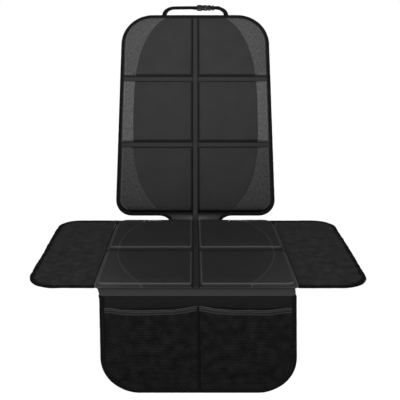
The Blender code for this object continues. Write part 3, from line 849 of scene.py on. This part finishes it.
covers = []
for (panel, where), cell in cells.items():
    grid, rim = cell_grid(cell)
    points = np.vstack((grid.reshape(-1, 2), rim))
    roll = {"back": back_pad_edge, "seat": seat_pad_edge}[panel]
    height = np.concatenate((pad_height(grid, cell.pad, roll), np.full(rim_count, cover_high)))
    ease = np.clip(edge_distance(grid, cell.pad) / ease_width, 0, 1) ** 2
    for side_name, side in both_sides:
        covers.append((panel, where, side_name, side, np.column_stack((points * (side, 1), height)),
                       np.concatenate((ease, np.zeros(rim_count)))))

start_points = np.vstack([cover[4] for cover in covers])
all_faces = np.vstack([(cell_faces if cover[3] > 0 else cell_faces[:, ::-1]) + k * cell_points
                       for k, cover in enumerate(covers)])
all_held = np.concatenate([np.concatenate((border, ring)) + k * cell_points
                           for k in range(len(covers))])
tilt = wander(start_points[:, :2], pad_tilt_size, pad_tilt, 1.0)
tilt[all_held] = 0
start_points[:, 2] += tilt
all_ease = np.concatenate([cover[5] for cover in covers])
shaped = swollen(start_points, all_faces, all_held, all_ease)

seam_column = len(face_shares) - 1
column_of = np.concatenate((np.arange(rows * columns), border)) % columns
on_face = np.all(column_of[cell_faces] <= seam_column, axis=1)
seam_lines = []
for k, (panel, where, side_name, side, flat, ease) in enumerate(covers):
    cell = cells[panel, where]
    points = shaped[k * cell_points:(k + 1) * cell_points].copy()
    seam = points[:rows * columns].reshape(rows, columns, 3)[:, seam_column]
    spread = np.abs(np.abs(points[:, 0]) - cell.seam(points[:, 1]))
    depth = np.clip((points[:, 2] - cover_high) / valley_ramp, 0, 1)
    points[:, 2] -= seam_valley * faded(spread, seam_half) * depth
    edge = edge_distance(points[:, :2] * (side, 1), cell.pad)
    # Painted light and shade for this cover, and how far its points lie from the painted highlight lines.
    tone, rim, seam_highlight = cloth_tones(panel, where, side, cell, points, edge, spread)
    pucker = wander(points[:, :2], pucker_size, pucker_height, 5.0) * np.exp(-edge / pucker_reach)
    points[:, 2] += pucker * depth
    for label, mask in (("face", on_face), ("side", ~on_face)):
        used, local = np.unique(cell_faces[mask], return_inverse=True)
        faces = local.reshape(-1, 4)
        if side < 0:
            faces = faces[:, ::-1]
        outer = "side" if panel == "back" else "corner"
        node = f"{panel}_{'face' if label == 'face' else outer}_{where}_{side_name}"
        grey_cloth = panel == "back" and label == "side"
        made = piece(node + "_cover", points[used], faces,
                     melange_finish if grey_cloth else smooth_finish,
                     node, flat[used])
        # Painted light on the side cloth of most cells and painted shade on that of the back's lower cells.
        lift = side_tones[where] if label == "side" else 0.0
        set_painted_light(made, tone=tone[used] + lift, rim=rim[used], seam=seam_highlight[used])
        smoother = made.modifiers.new("smooth", "SUBSURF")
        smoother.levels = smoother.render_levels = 1
        thicken(made, cover_thickness)
    seam = points[:rows * columns].reshape(rows, columns, 3)[:, seam_column]
    seam_lines.append(seam + (side * 0.0016, 0, 0.0002))
sew("field_stitches", seam_lines, field_stitch)

# Channel strips. Between the cells the cloth is sewn flat in strips, one up the middle of the whole
# mat and one across between each two rows of cells, with a row of stitches along each edge.

strip_crown = 0.0004
strip_high = cover_high - 0.0006
strip_shade = 0.0026
strip_shade_lean = 0.0009
strip_step = 0.004
strip_columns = 9
fine_stitch = (0.0036, 0.0026, 0.0006)


def strip_dress(start, place):
    split = place.parts()
    away = start.math("ABSOLUTE", split)
    # Painted shade darkens the strip towards both edges, where it meets the pads.
    shade = start.math("MAXIMUM", 0.0, (away - (strip_half - strip_shade)) / strip_shade)
    slub = cloud(place, 0.0022, along=2.5)
    cloth = (slub * 0.5 + cloud(place, 0.05) * 0.5).blend(grey(0.026), grey(0.038))
    return shade.blend(cloth, grey(0.004)), weave(place, 0.0008) * 0.6 + slub, 0.00014


strip_finish = finish("channel strip cloth", strip_dress, 0.6)


def strip(name, start, stop, lean=0.0):
    """A flat strip of cloth between two flat points, sewn along both edges.

    lean moves its pattern across it, so that the painted shade along one edge grows thicker.
    """
    start, stop = np.array(start, float), np.array(stop, float)
    ahead = (stop - start) / np.linalg.norm(stop - start)
    aside = np.array((-ahead[1], ahead[0]))
    steps = np.linspace(0, 1, max(2, round(np.linalg.norm(stop - start) / strip_step)))
    across = np.linspace(-strip_half, strip_half, strip_columns)
    grid = (start + steps[:, None, None] * (stop - start)) + across[None, :, None] * aside
    crown = strip_crown * (1 - (across / strip_half) ** 2)
    points = grid.reshape(-1, 2)
    height = strip_high + np.tile(crown, len(steps)) + wander(points, 0.009, 0.0004, 9.0)
    flat = raised(grid, height)
    length = steps * np.linalg.norm(stop - start)
    pattern = np.column_stack((np.tile(across + lean, len(steps)), np.repeat(length, strip_columns)))
    made = piece(name + "_cloth", flat, quads(len(steps), strip_columns, True), strip_finish,
                 name, pattern)
    thicken(made, cover_thickness)
    rows = flat.reshape(len(steps), strip_columns, 3)
    return [rows[:, 0] * 0.8 + rows[:, 1] * 0.2, rows[:, -1] * 0.8 + rows[:, -2] * 0.2]


channel_seams = strip("centre_strip", (0, 0), (0, back_top))
for side_name, side in both_sides:
    for name, s, edge in (("back_cross_strip_lower", channels[0], back_edge(channels[0])),
                          ("back_cross_strip_upper", channels[1], back_edge(channels[1])),
                          ("seat_cross_strip", seat_channel, seat_edge)):
        channel_seams += strip(f"{name}_{side_name}", (side * half_channel, s), (side * edge, s),
                                side * strip_shade_lean)
sew("channel_stitches", channel_seams, fine_stitch)

# Neck. A short waisted piece joins the back to the seat, so that the mat can fold where the backrest
# meets the cushion. Its cover is the same cloth on a thin lining, bound down both hollow sides.

neck_puff = 0.0009
neck_light = 2.3
neck_light_place = 0.45
neck_light_reach = 0.33
neck_wave_size = 0.012
neck_wave = 0.0008
neck_line = right_side[(right_side[:, 1] > seat_depth - 0.0001) & (right_side[:, 1] < back_foot + 0.0001)
                       & (right_side[:, 0] < neck_edge + neck_flare + 0.001)]
for side_name, side in both_sides:
    foot = np.array([(half_channel, seat_depth), neck_line[0]])
    top = np.array([(half_channel, back_foot), neck_line[-1]])
    left = np.array([(half_channel, seat_depth), (half_channel, back_foot)])
    grid = filled(foot, top, left, neck_line, shares(22), shares(16))
    points = grid.reshape(-1, 2) * (side, 1)
    share = np.clip((points[:, 1] - seat_depth) / neck_length, 0, 1)
    height = cover_high + neck_puff * np.sin(np.pi * share) + wander(points, neck_wave_size, neck_wave, 2.0)
    flat = raised(points, height)
    node = f"neck_cover_{side_name}"
    made = piece(node + "_cloth", flat, quads(16, 22, side < 0), smooth_finish, node)
    # Painted light across the middle of the neck cover, fading towards its sides.
    inward = np.clip(1.15 - np.abs(points[:, 0]) / neck_edge, 0, 1)
    set_painted_light(made, tone=neck_light * faded(share - neck_light_place, neck_light_reach) * inward)
    thicken(made, cover_thickness)
left_line = neck_line * (-1, 1)
grid = filled(np.array([left_line[0], neck_line[0]]), np.array([left_line[-1], neck_line[-1]]),
              left_line, neck_line, shares(30), shares(16))
flat = raised(grid, lining_edge)
made = piece("neck_lining_cloth", flat, quads(16, 30), lining_finish, "neck_lining")
thicken(made, lining_thickness, 1.0)

# Wings. A thin double panel hangs out over each side bolster of the car's seat. Its root is sewn to
# the seat panel under a cord of piping, and its other three edges have a tape.

wing_widths = {"left": 0.162, "right": 0.170}
wing_front_taper = 0.0095
wing_setback = 0.005
wing_overhang = 0.001
wing_front_corner = 0.067
wing_rear_corner = 0.055
wing_taper_stop = 0.145
wing_thickness = 0.0020
wing_wave = 0.0032
wing_wave_size = 0.11
wing_ripple = 0.0008
wing_ripple_size = 0.030
wing_free_reach = 0.16
piping_width = 0.0035
piping_rise = 0.0022
piping_lead = 0.006
piping_wave_size = 0.03
piping_wave = 0.0006
wing_tape_half = 0.0011


def wing_lift(points):
    """Gentle waves of a wing: none where it is sewn on, most at its free corners."""
    points = np.asarray(points)
    free = np.clip((np.abs(points[:, 0]) - seat_edge) / wing_free_reach, 0, 1)
    waves = wander(points, wing_wave_size, wing_wave, 4.0)
    return (waves + wander(points, wing_ripple_size, wing_ripple, 8.0)) * free


def wing(side_name, side, width):
    """One wing: its cloth, cut to the seat panel's rounded corners, and the tape on its free edges."""
    root = seat_edge + gap
    edge = root + width - binding_wrap
    low = wing_setback + binding_wrap
    high = seat_depth + wing_overhang - binding_wrap
    foot, top, _, right = four_sides(
        low, high, lambda s: root,
        lambda s: edge - wing_front_taper * (s < high - wing_taper_stop),
        (small_corner, wing_front_corner, wing_rear_corner, small_corner))
    round_corner = seat_rear_corner + binding_wrap + gap
    centre = seat_depth - seat_rear_corner
    rise = math.degrees(math.asin(min(0.98, (high - centre) / round_corner)))
    behind = arc(seat_edge - seat_rear_corner, centre, round_corner, 0, rise)
    before = seat_front_corner + gap
    fall = math.degrees(math.asin((seat_front_corner - low) / before))
    front = arc(seat_edge - seat_front_corner, seat_front_corner, before, -fall, 0)
    left = np.vstack((front, (root, centre), behind))
    foot = np.vstack((front[0], foot[foot[:, 0] > root + small_corner]))
    top = np.vstack((behind[-1], top[top[:, 0] > root + small_corner]))
    across, along = shares(34, 0.4), shares(70, 0.3)
    grid = filled(foot, top, left, right, across, along)
    points = grid.reshape(-1, 2) * (side, 1)
    lift = wing_lift(points)
    flat = raised(points, lining_edge + wing_thickness + lift)
    node = f"wing_panel_{side_name}"
    made = piece(node + "_cloth", flat, quads(len(along), len(across), side < 0), wing_finish,
                 node)
    thicken(made, wing_thickness * 0.9)
    bound = np.vstack((foot, right[1:], top[::-1][1:])) * (side, 1)
    if side < 0:
        bound = bound[::-1]
    tape(f"wing_binding_tape_{side_name}", bound, lining_edge - wing_tape_half,
         lining_edge + wing_thickness + wing_tape_half, wing_lift, f"wing_binding_{side_name}", 0.55)


def wing_dress(start, place):
    thread = weave(place, 0.0007)
    slub = cloud(place, 0.0018, along=2.0)
    patch = cloud(place, 0.022)
    return (slub * 0.6 + patch * 1.1 - 0.35).blend(grey(0.013), grey(0.056)), thread * 0.5 + slub, 0.00012


wing_finish = finish("wing cloth", wing_dress, 0.7)
for side_name, side in both_sides:
    wing(side_name, side, wing_widths[side_name])
    run = np.linspace(seat_front_corner - piping_lead, seat_depth - seat_rear_corner - 2 * gap, 110)
    turn = np.linspace(0, math.pi, 9)
    wavy = wander(np.column_stack((np.full(len(run), side), run)), piping_wave_size, piping_wave, 6.0)
    bead = [np.column_stack((side * seat_edge + side * w + piping_width / 2 * np.cos(turn), np.full(9, s),
                             cover_high + 0.0002 + piping_rise * np.sin(turn)))
            for s, w in zip(run, wavy)]
    flat = np.vstack(bead)
    node = f"wing_piping_{side_name}"
    made = piece(node + "_cord", flat, quads(len(run), 9), wing_finish, node,
                 flat[:, [1, 0]])
    thicken(made, 0.0006)

# Apron. A band rolls over the seat's front edge and carries a plain backing, on which an elastic hem
# and a net make two pockets. A narrow tape parts them, and one binding goes round the whole.

apron_inset = 0.0135
apron_corner = 0.090
band_length = 0.0175
band_thickness = 0.0020
pocket_mouth = 0.0400
mouth_sag = 0.0060
sag_turn = math.radians(130)
pocket_bulge = 0.010
hem_width = 0.013
hem_thickness = 0.0014
net_flat = 0.022
net_ramp = 0.060
pocket_seam = 0.006
net_low = 0.0013
gather = 0.0022
gather_size = 0.014
gather_reach = 0.10
net_wave = 0.0030
net_wave_size = 0.055
slack_from = 0.006
net_pitch = 0.0044
net_thread = 0.0005
net_open = 0.62
apron_edge = seat_edge - apron_inset
apron_foot = profile[0, 0] + binding_wrap
band_overlap = 0.003
apron_outline = four_sides(apron_foot, band_overlap - band_length, lambda s: -apron_edge,
                           lambda s: apron_edge,
                           (apron_corner, apron_corner, small_corner, small_corner))


def mouth_line(x):
    """Upper edge of the pocket net, which sags on both sides of the middle seam."""
    return -pocket_mouth - mouth_sag * np.sin(sag_turn * np.minimum(1, np.abs(x) / apron_edge))


def fullness(points):
    """How far the pocket stands off its backing: most in the middle of each mouth, none at a seam."""
    x, s = points.T
    cx, cs = apron_edge - apron_corner, apron_foot + apron_corner
    corner = (np.abs(x) > cx) & (s < cs)
    inside = np.where(corner, apron_corner - np.hypot(np.abs(x) - cx, s - cs),
                      np.minimum(apron_edge - np.abs(x), s - apron_foot))
    aside = np.clip((inside - net_flat) / net_ramp, 0, 1)
    from_seam = np.clip((np.abs(x) - pocket_seam / 2) / net_ramp, 0, 1)
    return pocket_bulge * np.sin(np.pi / 2 * aside) * np.sin(np.pi / 2 * from_seam)


def slack(points):
    """Small folds of the pocket cloth: upright gathers under the elastic, and loose waves."""
    points = np.asarray(points)
    below = np.clip((mouth_line(points[:, 0]) - points[:, 1]) / gather_reach, 0, 1)
    gathers = wander(points * (1, 0.15), gather_size, gather, 11.0) * (1 - below)
    waves = wander(points, net_wave_size, net_wave, 12.0)
    return (gathers + waves) * np.clip(fullness(points) / slack_from, 0, 1)


def band_dress(start, place):
    thread = weave(place, 0.0008)
    slub = cloud(place, 0.002, along=2.0)
    return slub.blend(grey(0.037), grey(0.051)), thread * 0.5 + slub, 0.00013


def backing_dress(start, place):
    thread = weave(place, 0.0010)
    reach = place.parts().out(1)
    # Painted shade: the backing is almost black inside the pockets, below their mouths, and lighter above
    # them.
    clear_of_pocket_shade = start.math("MINIMUM", 1.0, start.math("MAXIMUM", 0.0, (reach + 0.062) / 0.012))
    return clear_of_pocket_shade.blend(grey(0.003), cloud(place, 0.03).blend(grey(0.013), grey(0.020))), thread, 0.00012


def net_dress(start, place):
    yarn = cloud(place, 0.0009)
    shade = yarn * 0.5 + cloud(place, 0.022) * 1.6 - 0.5
    return shade.blend(grey(0.007), grey(0.032)), yarn, 0.0001


band_finish = finish("band cloth", band_dress, 0.6)
backing_finish = finish("pocket backing", backing_dress, 0.85, gloss=0.05)
net_finish = finish("pocket net", net_dress, 0.6, gloss=0.02)

grid = np.stack(np.meshgrid(np.linspace(-apron_edge, apron_edge, 110),
                            np.linspace(-band_length, -gap, 20)), axis=-1)
points = grid.reshape(-1, 2)
band_share = np.clip(-points[:, 1] / band_length, 0, 1)
lap_rise = 0.0012 * np.clip((-band_length + 2 * band_overlap - points[:, 1]) / band_overlap, 0, 1)
flat = raised(points, band_thickness + lap_rise + wander(points * (1, 0.5), 0.02, 0.0010, 13.0)
              * np.sin(np.pi * band_share))
made = piece("apron_band_cloth", flat, quads(20, 110), band_finish, "apron_band")
thicken(made, band_thickness * 0.9)

grid = filled(*apron_outline, shares(70), shares(44))
flat = raised(grid, 0.001)
made = piece("apron_backing_cloth", flat, quads(44, 70), backing_finish,
             "apron_backing")
thicken(made, 0.001)


def net_tree():
    """Geometry Nodes: a flat net of six-sided holes."""
    given = new_tree("net", "Seed", ("Width", "Height", "Pitch", "Hole"))
    pitch = given.out("Pitch")
    rise = pitch * (math.sqrt(3) / 2)
    columns = given.out("Width") / pitch + 1
    rows = given.out("Height") / rise + 1
    sheet = given.node("GeometryNodeMeshGrid", sockets={
        "Size X": given.out("Width"), "Size Y": given.out("Height"), "Vertices X": columns,
        "Vertices Y": rows})
    place = given.node("GeometryNodeInputPosition")
    split = place.parts()
    number = given.math("ROUND", split.out(1) / rise)
    odd = given.math("FLOORED_MODULO", number, 2.0)
    shift = given.node("ShaderNodeCombineXYZ", sockets={0: odd * pitch * 0.5})
    staggered = given.node("GeometryNodeSetPosition", sockets={"Geometry": sheet, "Offset": shift})
    cut = given.node("GeometryNodeTriangulate", {"quad_method": "SHORTEST_DIAGONAL"}, {0: staggered})
    holes = given.node("GeometryNodeDualMesh", sockets={0: cut})
    doubled = given.node("GeometryNodeExtrudeMesh", {"mode": "FACES"},
                         {"Mesh": holes, "Offset Scale": 0.0, "Individual": True})
    shrunk = given.node("GeometryNodeScaleElements", sockets={
        "Geometry": doubled, "Selection": doubled.out("Top"), "Scale": given.out("Hole")})
    net = given.node("GeometryNodeDeleteGeometry", {"domain": "FACE"},
                     {"Geometry": shrunk, "Selection": doubled.out("Top")})
    return close_tree(given, net)


pocket_tree = net_tree()


def inner_depth(points):
    """Depth of flat points inside the pocket's outline, below nought for those outside it."""
    away = edge_distance(points, apron_outline)
    corner_x, corner_s = apron_edge - apron_corner, apron_foot + apron_corner
    beyond = (np.abs(points[:, 0]) > corner_x) & (points[:, 1] < corner_s) & (
        np.hypot(np.abs(points[:, 0]) - corner_x, points[:, 1] - corner_s) > apron_corner)
    outside = beyond | (np.abs(points[:, 0]) > apron_edge) | (points[:, 1] < apron_foot)
    return np.where(outside, -away, away)


def pocket_height(points):
    """Height of the pocket's cloth, which follows its fullness and its small folds."""
    return net_low + fullness(points) + slack(points)


for side_name, side in both_sides:
    made = grown(f"pocket_net_mesh_{side_name}", [(0, 0, 0)], [], [], pocket_tree, net_finish,
                 {"Width": apron_edge, "Height": -pocket_mouth - apron_foot,
                                 "Pitch": net_pitch, "Hole": net_open})
    places = np.empty(len(made.data.vertices) * 3)
    made.data.vertices.foreach_get("co", places)
    points = places.reshape(-1, 3)[:, :2] + (side * apron_edge / 2, (apron_foot - pocket_mouth) / 2)
    keep = ((inner_depth(points) > -0.0002) & (points[:, 1] < mouth_line(points[:, 0]) - 0.004)
            & (points[:, 0] * side > 0.0006))
    flat = raised(points, pocket_height(points) + net_thread)
    faces = [tuple(f.vertices) for f in made.data.polygons if keep[list(f.vertices)].all()]
    used = sorted({v for f in faces for v in f})
    renumbered = {old: new for new, old in enumerate(used)}
    bpy.data.objects.remove(made, do_unlink=True)
    made = piece(f"pocket_net_{side_name}", flat[used], [[renumbered[v] for v in f] for f in faces],
                 net_finish, "pocket_net")
    thicken(made, net_thread)

hem_lines = ((0.0012, 0.0010), (0.0052, 0.0007), (0.0116, 0.0007))


def hem_dress(start, place):
    drop = place.parts().out(1)
    light = sum(start.math("MAXIMUM", 0.0, 1.0 - start.math("ABSOLUTE", drop - line) / half)
                for line, half in hem_lines)
    ribs = start.math("SINE", drop * (2 * math.pi / 0.0016))
    return light.blend(grey(0.026), grey(0.110)), ribs + cloud(place, 0.002), 0.0002


hem_finish = finish("pocket hem", hem_dress, 0.6)
run = np.linspace(-apron_edge, apron_edge, 190)
across = np.linspace(0, hem_width, 15)
grid = np.stack([np.column_stack((run, mouth_line(run) - drop)) for drop in across])
points = grid.reshape(-1, 2)
flat = raised(points, pocket_height(points) + hem_thickness)
pattern = np.column_stack((points[:, 0], np.repeat(across, len(run))))
made = piece("pocket_hem_cloth", flat, quads(15, len(run), True), hem_finish,
             "pocket_hem", pattern)
thicken(made, hem_thickness * 0.9)
seams = [np.column_stack((run, mouth_line(run) - drop)) for drop in (0.0022, 0.0108)]
sew("hem_stitches", [raised(seam, pocket_height(seam) + hem_thickness) for seam in seams],
    fine_stitch)

run = np.linspace(apron_foot + 0.004, -pocket_mouth, 70)
across = np.linspace(-0.003, 0.003, 5)
grid = np.stack([np.column_stack((across * (1 - 0.3 * (s > -pocket_mouth - hem_width)), np.full(5, s)))
                 for s in run])
over_hem = np.clip((np.repeat(run, 5) + pocket_mouth + hem_width) / 0.002, 0, 1)
flat = raised(grid, net_low + 0.0012 + over_hem * hem_thickness)
made = piece("pocket_centre_seam", flat, quads(70, 5, True), tape_finish,
             "pocket_centre_tape")
thicken(made, 0.0005)

foot, top, left, right = apron_outline
bound = np.vstack((left[::-1], foot[1:], right[1:]))
tape("apron_binding_tape", bound, -0.0011, 0.0038, stands_for="apron_binding")

# Headrest strap. Two ends of black webbing are sewn behind the back panel's top edge. Above it they
# meet in a side-release buckle of hard black plastic, and a keeper holds the loose end down.

strap_width = 0.015
strap_thickness = 0.0012
strap_anchor = 0.100
strap_tail = 0.0078
strap_loop = 0.036
strap_setback = 0.012
strap_tilt = math.radians(22)
strap_turn = 0.034
lap_length = 0.014
lap_start = 0.0047
bar_half = 0.0009
buckle_centre = 0.0345
socket_length = 0.028
plug_length = 0.016
ring_points = 32
lap = strap_thickness / 2 + gap / 2
behind = -0.0002 - strap_thickness / 2
loop_place = np.array((back_top + strap_loop, -strap_setback))
loop_across = np.array((math.cos(strap_tilt), -math.sin(strap_tilt)))
loop_out = np.array((math.sin(strap_tilt), math.cos(strap_tilt)))


def at_loop(x, out):
    """Flat place of a point in the middle of the strap's level run, out of the webbing."""
    return np.concatenate(((x,), loop_place + loop_out * out))


def strap_route(bar_x, side):
    """Places and width directions of half the strap: sewn tail, turn, level run, loop on its bar."""
    upright = -np.concatenate(((0.0,), loop_across))
    flat_way = np.array((-side, 0.0, 0.0))
    places = [(side * strap_anchor, back_top - strap_tail * share, behind) for share in (1, 0.5, 0)]
    ways = [flat_way] * 3
    for turn in np.linspace(0, math.pi / 2, 25)[1:]:
        blend = math.sin(turn) ** 2
        places.append((side * (strap_anchor - strap_turn * (1 - math.cos(turn))),
                       back_top + gap + (loop_place[0] - back_top - gap) * math.sin(turn),
                       behind + (loop_place[1] - behind) * blend))
        way = flat_way * math.cos(turn) + upright * math.sin(turn)
        ways.append(way / np.linalg.norm(way))
    wrap = bar_half * 1.5 + gap + strap_thickness / 2
    run = [(away, lap) for away in np.linspace(0.030, lap_start, 8)]
    run += [(-wrap * math.sin(a), wrap * math.cos(a)) for a in np.linspace(0, math.pi, 13)]
    run += [(away, -lap) for away in np.linspace(lap_start, lap_length, 4)]
    for away, out in run:
        places.append(at_loop(bar_x + side * away, out))
        ways.append(upright)
    return np.array(places), np.array(ways)


def webbing_dress(start, place):
    split = place.parts()
    rib = start.math("SINE", split * (2 * math.pi / 0.0017))
    pick = start.math("SINE", split.out(1) * (2 * math.pi / 0.0013) + rib)
    wear = cloud(place, 0.006)
    return (pick * 0.3 + wear * 0.6).blend(grey(0.003), grey(0.011)), rib + pick * 0.6, 0.0002


def plastic_dress(start, place):
    grain = cloud(on_object(start), 0.0006)
    return grain.blend(grey(0.006), grey(0.010)), grain, 0.00003


webbing_finish = finish("webbing", webbing_dress, 0.55)
plastic_finish = finish("black plastic", plastic_dress, 0.32, gloss=0.5)
bars = {"left": buckle_centre - socket_length + bar_half,
        "right": buckle_centre + gap + plug_length - bar_half}
strap_names = {"left": "strap_long", "right": "strap_short"}
for side_name, side in both_sides:
    places, ways = strap_route(bars[side_name], side)
    length = np.concatenate(([0], np.cumsum(np.linalg.norm(np.diff(places, axis=0), axis=1))))
    even = np.linspace(0, length[-1], 160)
    middle = np.column_stack([np.interp(even, length, places[:, k]) for k in range(3)])
    way = np.column_stack([np.interp(even, length, ways[:, k]) for k in range(3)])
    across = np.linspace(-0.5, 0.5, 9) * strap_width
    flat = (middle[:, None] + way[:, None] * across[None, :, None]).reshape(-1, 3)
    pattern = np.column_stack((np.tile(across, len(even)), np.repeat(even, 9)))
    made = piece(strap_names[side_name] + "_webbing", flat, quads(len(even), 9, side > 0),
                 webbing_finish, strap_names[side_name], pattern)
    thicken(made, strap_thickness, 0.0)


def moulded(name, sections, stands_for=None):
    """A rounded plastic moulding through sections (x, half width, half height) along the strap."""
    turn = np.linspace(0, 2 * math.pi, ring_points + 1)[:-1]
    wide = np.sign(np.cos(turn)) * np.sqrt(np.abs(np.cos(turn)))
    tall = np.sign(np.sin(turn)) * np.sqrt(np.abs(np.sin(turn)))
    rings = []
    for x, half_width, half_height in sections:
        places = loop_place + np.outer(wide * half_width, loop_across) + np.outer(
            tall * half_height, loop_out)
        rings.append(np.column_stack((np.full(ring_points, x), places)))
    at = np.arange(len(sections) * ring_points).reshape(-1, ring_points)
    after = np.roll(at, -1, axis=1)
    faces = list(np.stack((at[:-1], after[:-1], after[1:], at[1:]), axis=2).reshape(-1, 4))
    faces += [at[0][::-1], at[-1]]
    piece(name, np.vstack(rings), faces, plastic_finish, stands_for)


def rounded_block(start, stop, half_width, half_height, radius=0.0016, waist=()):
    """Sections of a block with rounded ends, narrowed at the (share, depth) pairs of a waist."""
    bends = np.linspace(0, math.pi / 2, 5)
    ends = [(radius * (1 - math.sin(a)), radius * (1 - math.cos(a))) for a in bends]
    shape = [(start + away, less) for away, less in ends[::-1]]
    shape += [(start + radius + (stop - start - 2 * radius) * k / 12, 0.0) for k in range(1, 12)]
    shape += [(stop - away, less) for away, less in ends]
    result = []
    for x, less in shape:
        share = (x - start) / (stop - start)
        narrow = sum(depth * math.exp(-((share - middle) / 0.16) ** 2) for middle, depth in waist)
        result.append((x, half_width - less - narrow, half_height - less))
    return result


socket_start = buckle_centre - socket_length
plug_start = buckle_centre + gap
keeper_start = bars["right"] + lap_start + gap
socket_waist = ((0.66, 0.0030),)
plug_waist = ((0.35, 0.0030),)
moulded("buckle_socket_shell", rounded_block(
    socket_start, buckle_centre, 0.0125, 0.0045, waist=socket_waist), "buckle_socket")
moulded("buckle_socket_badge", rounded_block(
    socket_start + 0.005, buckle_centre - 0.013, 0.0065, 0.0050, 0.0008))
moulded("buckle_plug_shell", rounded_block(
    plug_start, plug_start + plug_length, 0.0118, 0.0042, waist=plug_waist), "buckle_plug")
for k in range(4):
    rib_start = buckle_centre + 0.004 + 0.0026 * k
    moulded(f"buckle_plug_rib_{k}", rounded_block(rib_start, rib_start + 0.0012, 0.0065, 0.0047, 0.0004))
moulded("strap_keeper_loop", rounded_block(
    keeper_start, keeper_start + 0.006, strap_width / 2 + 0.003, 0.0034, 0.0012), "strap_keeper")

# Foam. A pad of soft grey foam fills each cell, out of sight under its cover, where the seams round
# the cell hold it.


def foam_dress(start, place):
    cell = start.node("ShaderNodeTexVoronoi", sockets={"Vector": on_object(start), "Scale": 900.0})
    return cell.blend(grey(0.012), grey(0.03)), cell, 0.0002


foam_finish = finish("foam", foam_dress, 0.9)
for name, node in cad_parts.items():
    if "_foam_" in name:
        node.data.materials.clear()
        node.data.materials.append(foam_finish)

# Studio. The photograph shows the mat on a pale ground under soft light, seen from the front. The
# camera is the one fitted to it, and to the camera alone the ground and what is behind are white.

scene = bpy.context.scene
scene.view_settings.view_transform = "Standard"
ambient_light = 0.26
paper_white = 1.02
floor_z = -0.272
wall = 1.6
wall_turn = 0.8
camera_data = bpy.data.cameras.new("camera")
camera_data.lens = 53.235
camera_data.sensor_width = 36
camera_data.shift_x = 0.01775
camera = in_scene("camera", camera_data)
camera.location = (-0.0076, -1.4355, 0.572)
camera.rotation_euler = (math.radians(73.18), 0, 0)
scene.camera = camera


def lamp(name, kind, place, aim, power, **settings):
    """A light that faces a point."""
    data = bpy.data.lights.new(name, kind)
    data.energy = power
    for label, value in settings.items():
        setattr(data, label, value)
    made = in_scene(name, data)
    made.location = place
    made.rotation_euler = (Vector(aim) - Vector(place)).to_track_quat("-Z", "Y").to_euler()


lamp("key light", "AREA", (-0.5, -3.0, 0.75), (0, 0, 0.2), 38, size=1.5)
lamp("top light", "AREA", (0.0, -1.2, 2.6), (0, 0, 0.0), 18, size=1.2)
lamp("rear light", "AREA", (0.0, 1.9, -0.1), (0, 0.5, 0.35), 25, size=0.3)
lamp("back light", "SPOT", (-0.4, -2.6, 0.95), (-0.02, 0.5, 0.60), 190,
     spot_size=math.radians(22), spot_blend=1.0, shadow_soft_size=0.3)


def white_to_camera(tree, surface, kind, end):
    """Show the camera plain white in place of a surface, which still meets all other light."""
    start = Wire(tree)
    seen = start.node("ShaderNodeLightPath", output="Is Camera Ray")
    white = start.node(kind, sockets={"Color": grey(1), "Strength": paper_white})
    mixed = start.node("ShaderNodeMixShader", sockets={
        0: seen, 1: Wire(tree, surface.outputs[0]), 2: white})
    tree.links.new(mixed.socket, tree.nodes[end].inputs[0])


paper = bpy.data.materials.new("paper")
paper.use_nodes = True
surface = paper.node_tree.nodes["Principled BSDF"]
surface.inputs["Base Color"].default_value = grey(0.3)
surface.inputs["Roughness"].default_value = 0.9
white_to_camera(paper.node_tree, surface, "ShaderNodeEmission", "Material Output")
turns = np.linspace(0.1, math.pi / 2, 12)
rows = [(-3.0, 0.0), (wall, 0.0)]
rows += [(wall + wall_turn * math.sin(a), wall_turn - wall_turn * math.cos(a)) for a in turns]
rows += [(wall + wall_turn, 4.0)]
points = [(x, y, z + floor_z) for y, z in rows for x in (-4, 4)]
mesh = bpy.data.meshes.new("paper")
mesh.from_pydata(points, [], [(2 * k, 2 * k + 1, 2 * k + 3, 2 * k + 2) for k in range(len(rows) - 1)])
mesh.materials.append(paper)
mesh.shade_smooth()
in_scene("paper", mesh)

world = bpy.data.worlds.new("studio")
world.use_nodes = True
sky = world.node_tree.nodes["Background"]
sky.inputs[0].default_value = grey(1)
sky.inputs[1].default_value = ambient_light
white_to_camera(world.node_tree, sky, "ShaderNodeBackground", "World Output")
scene.world = world
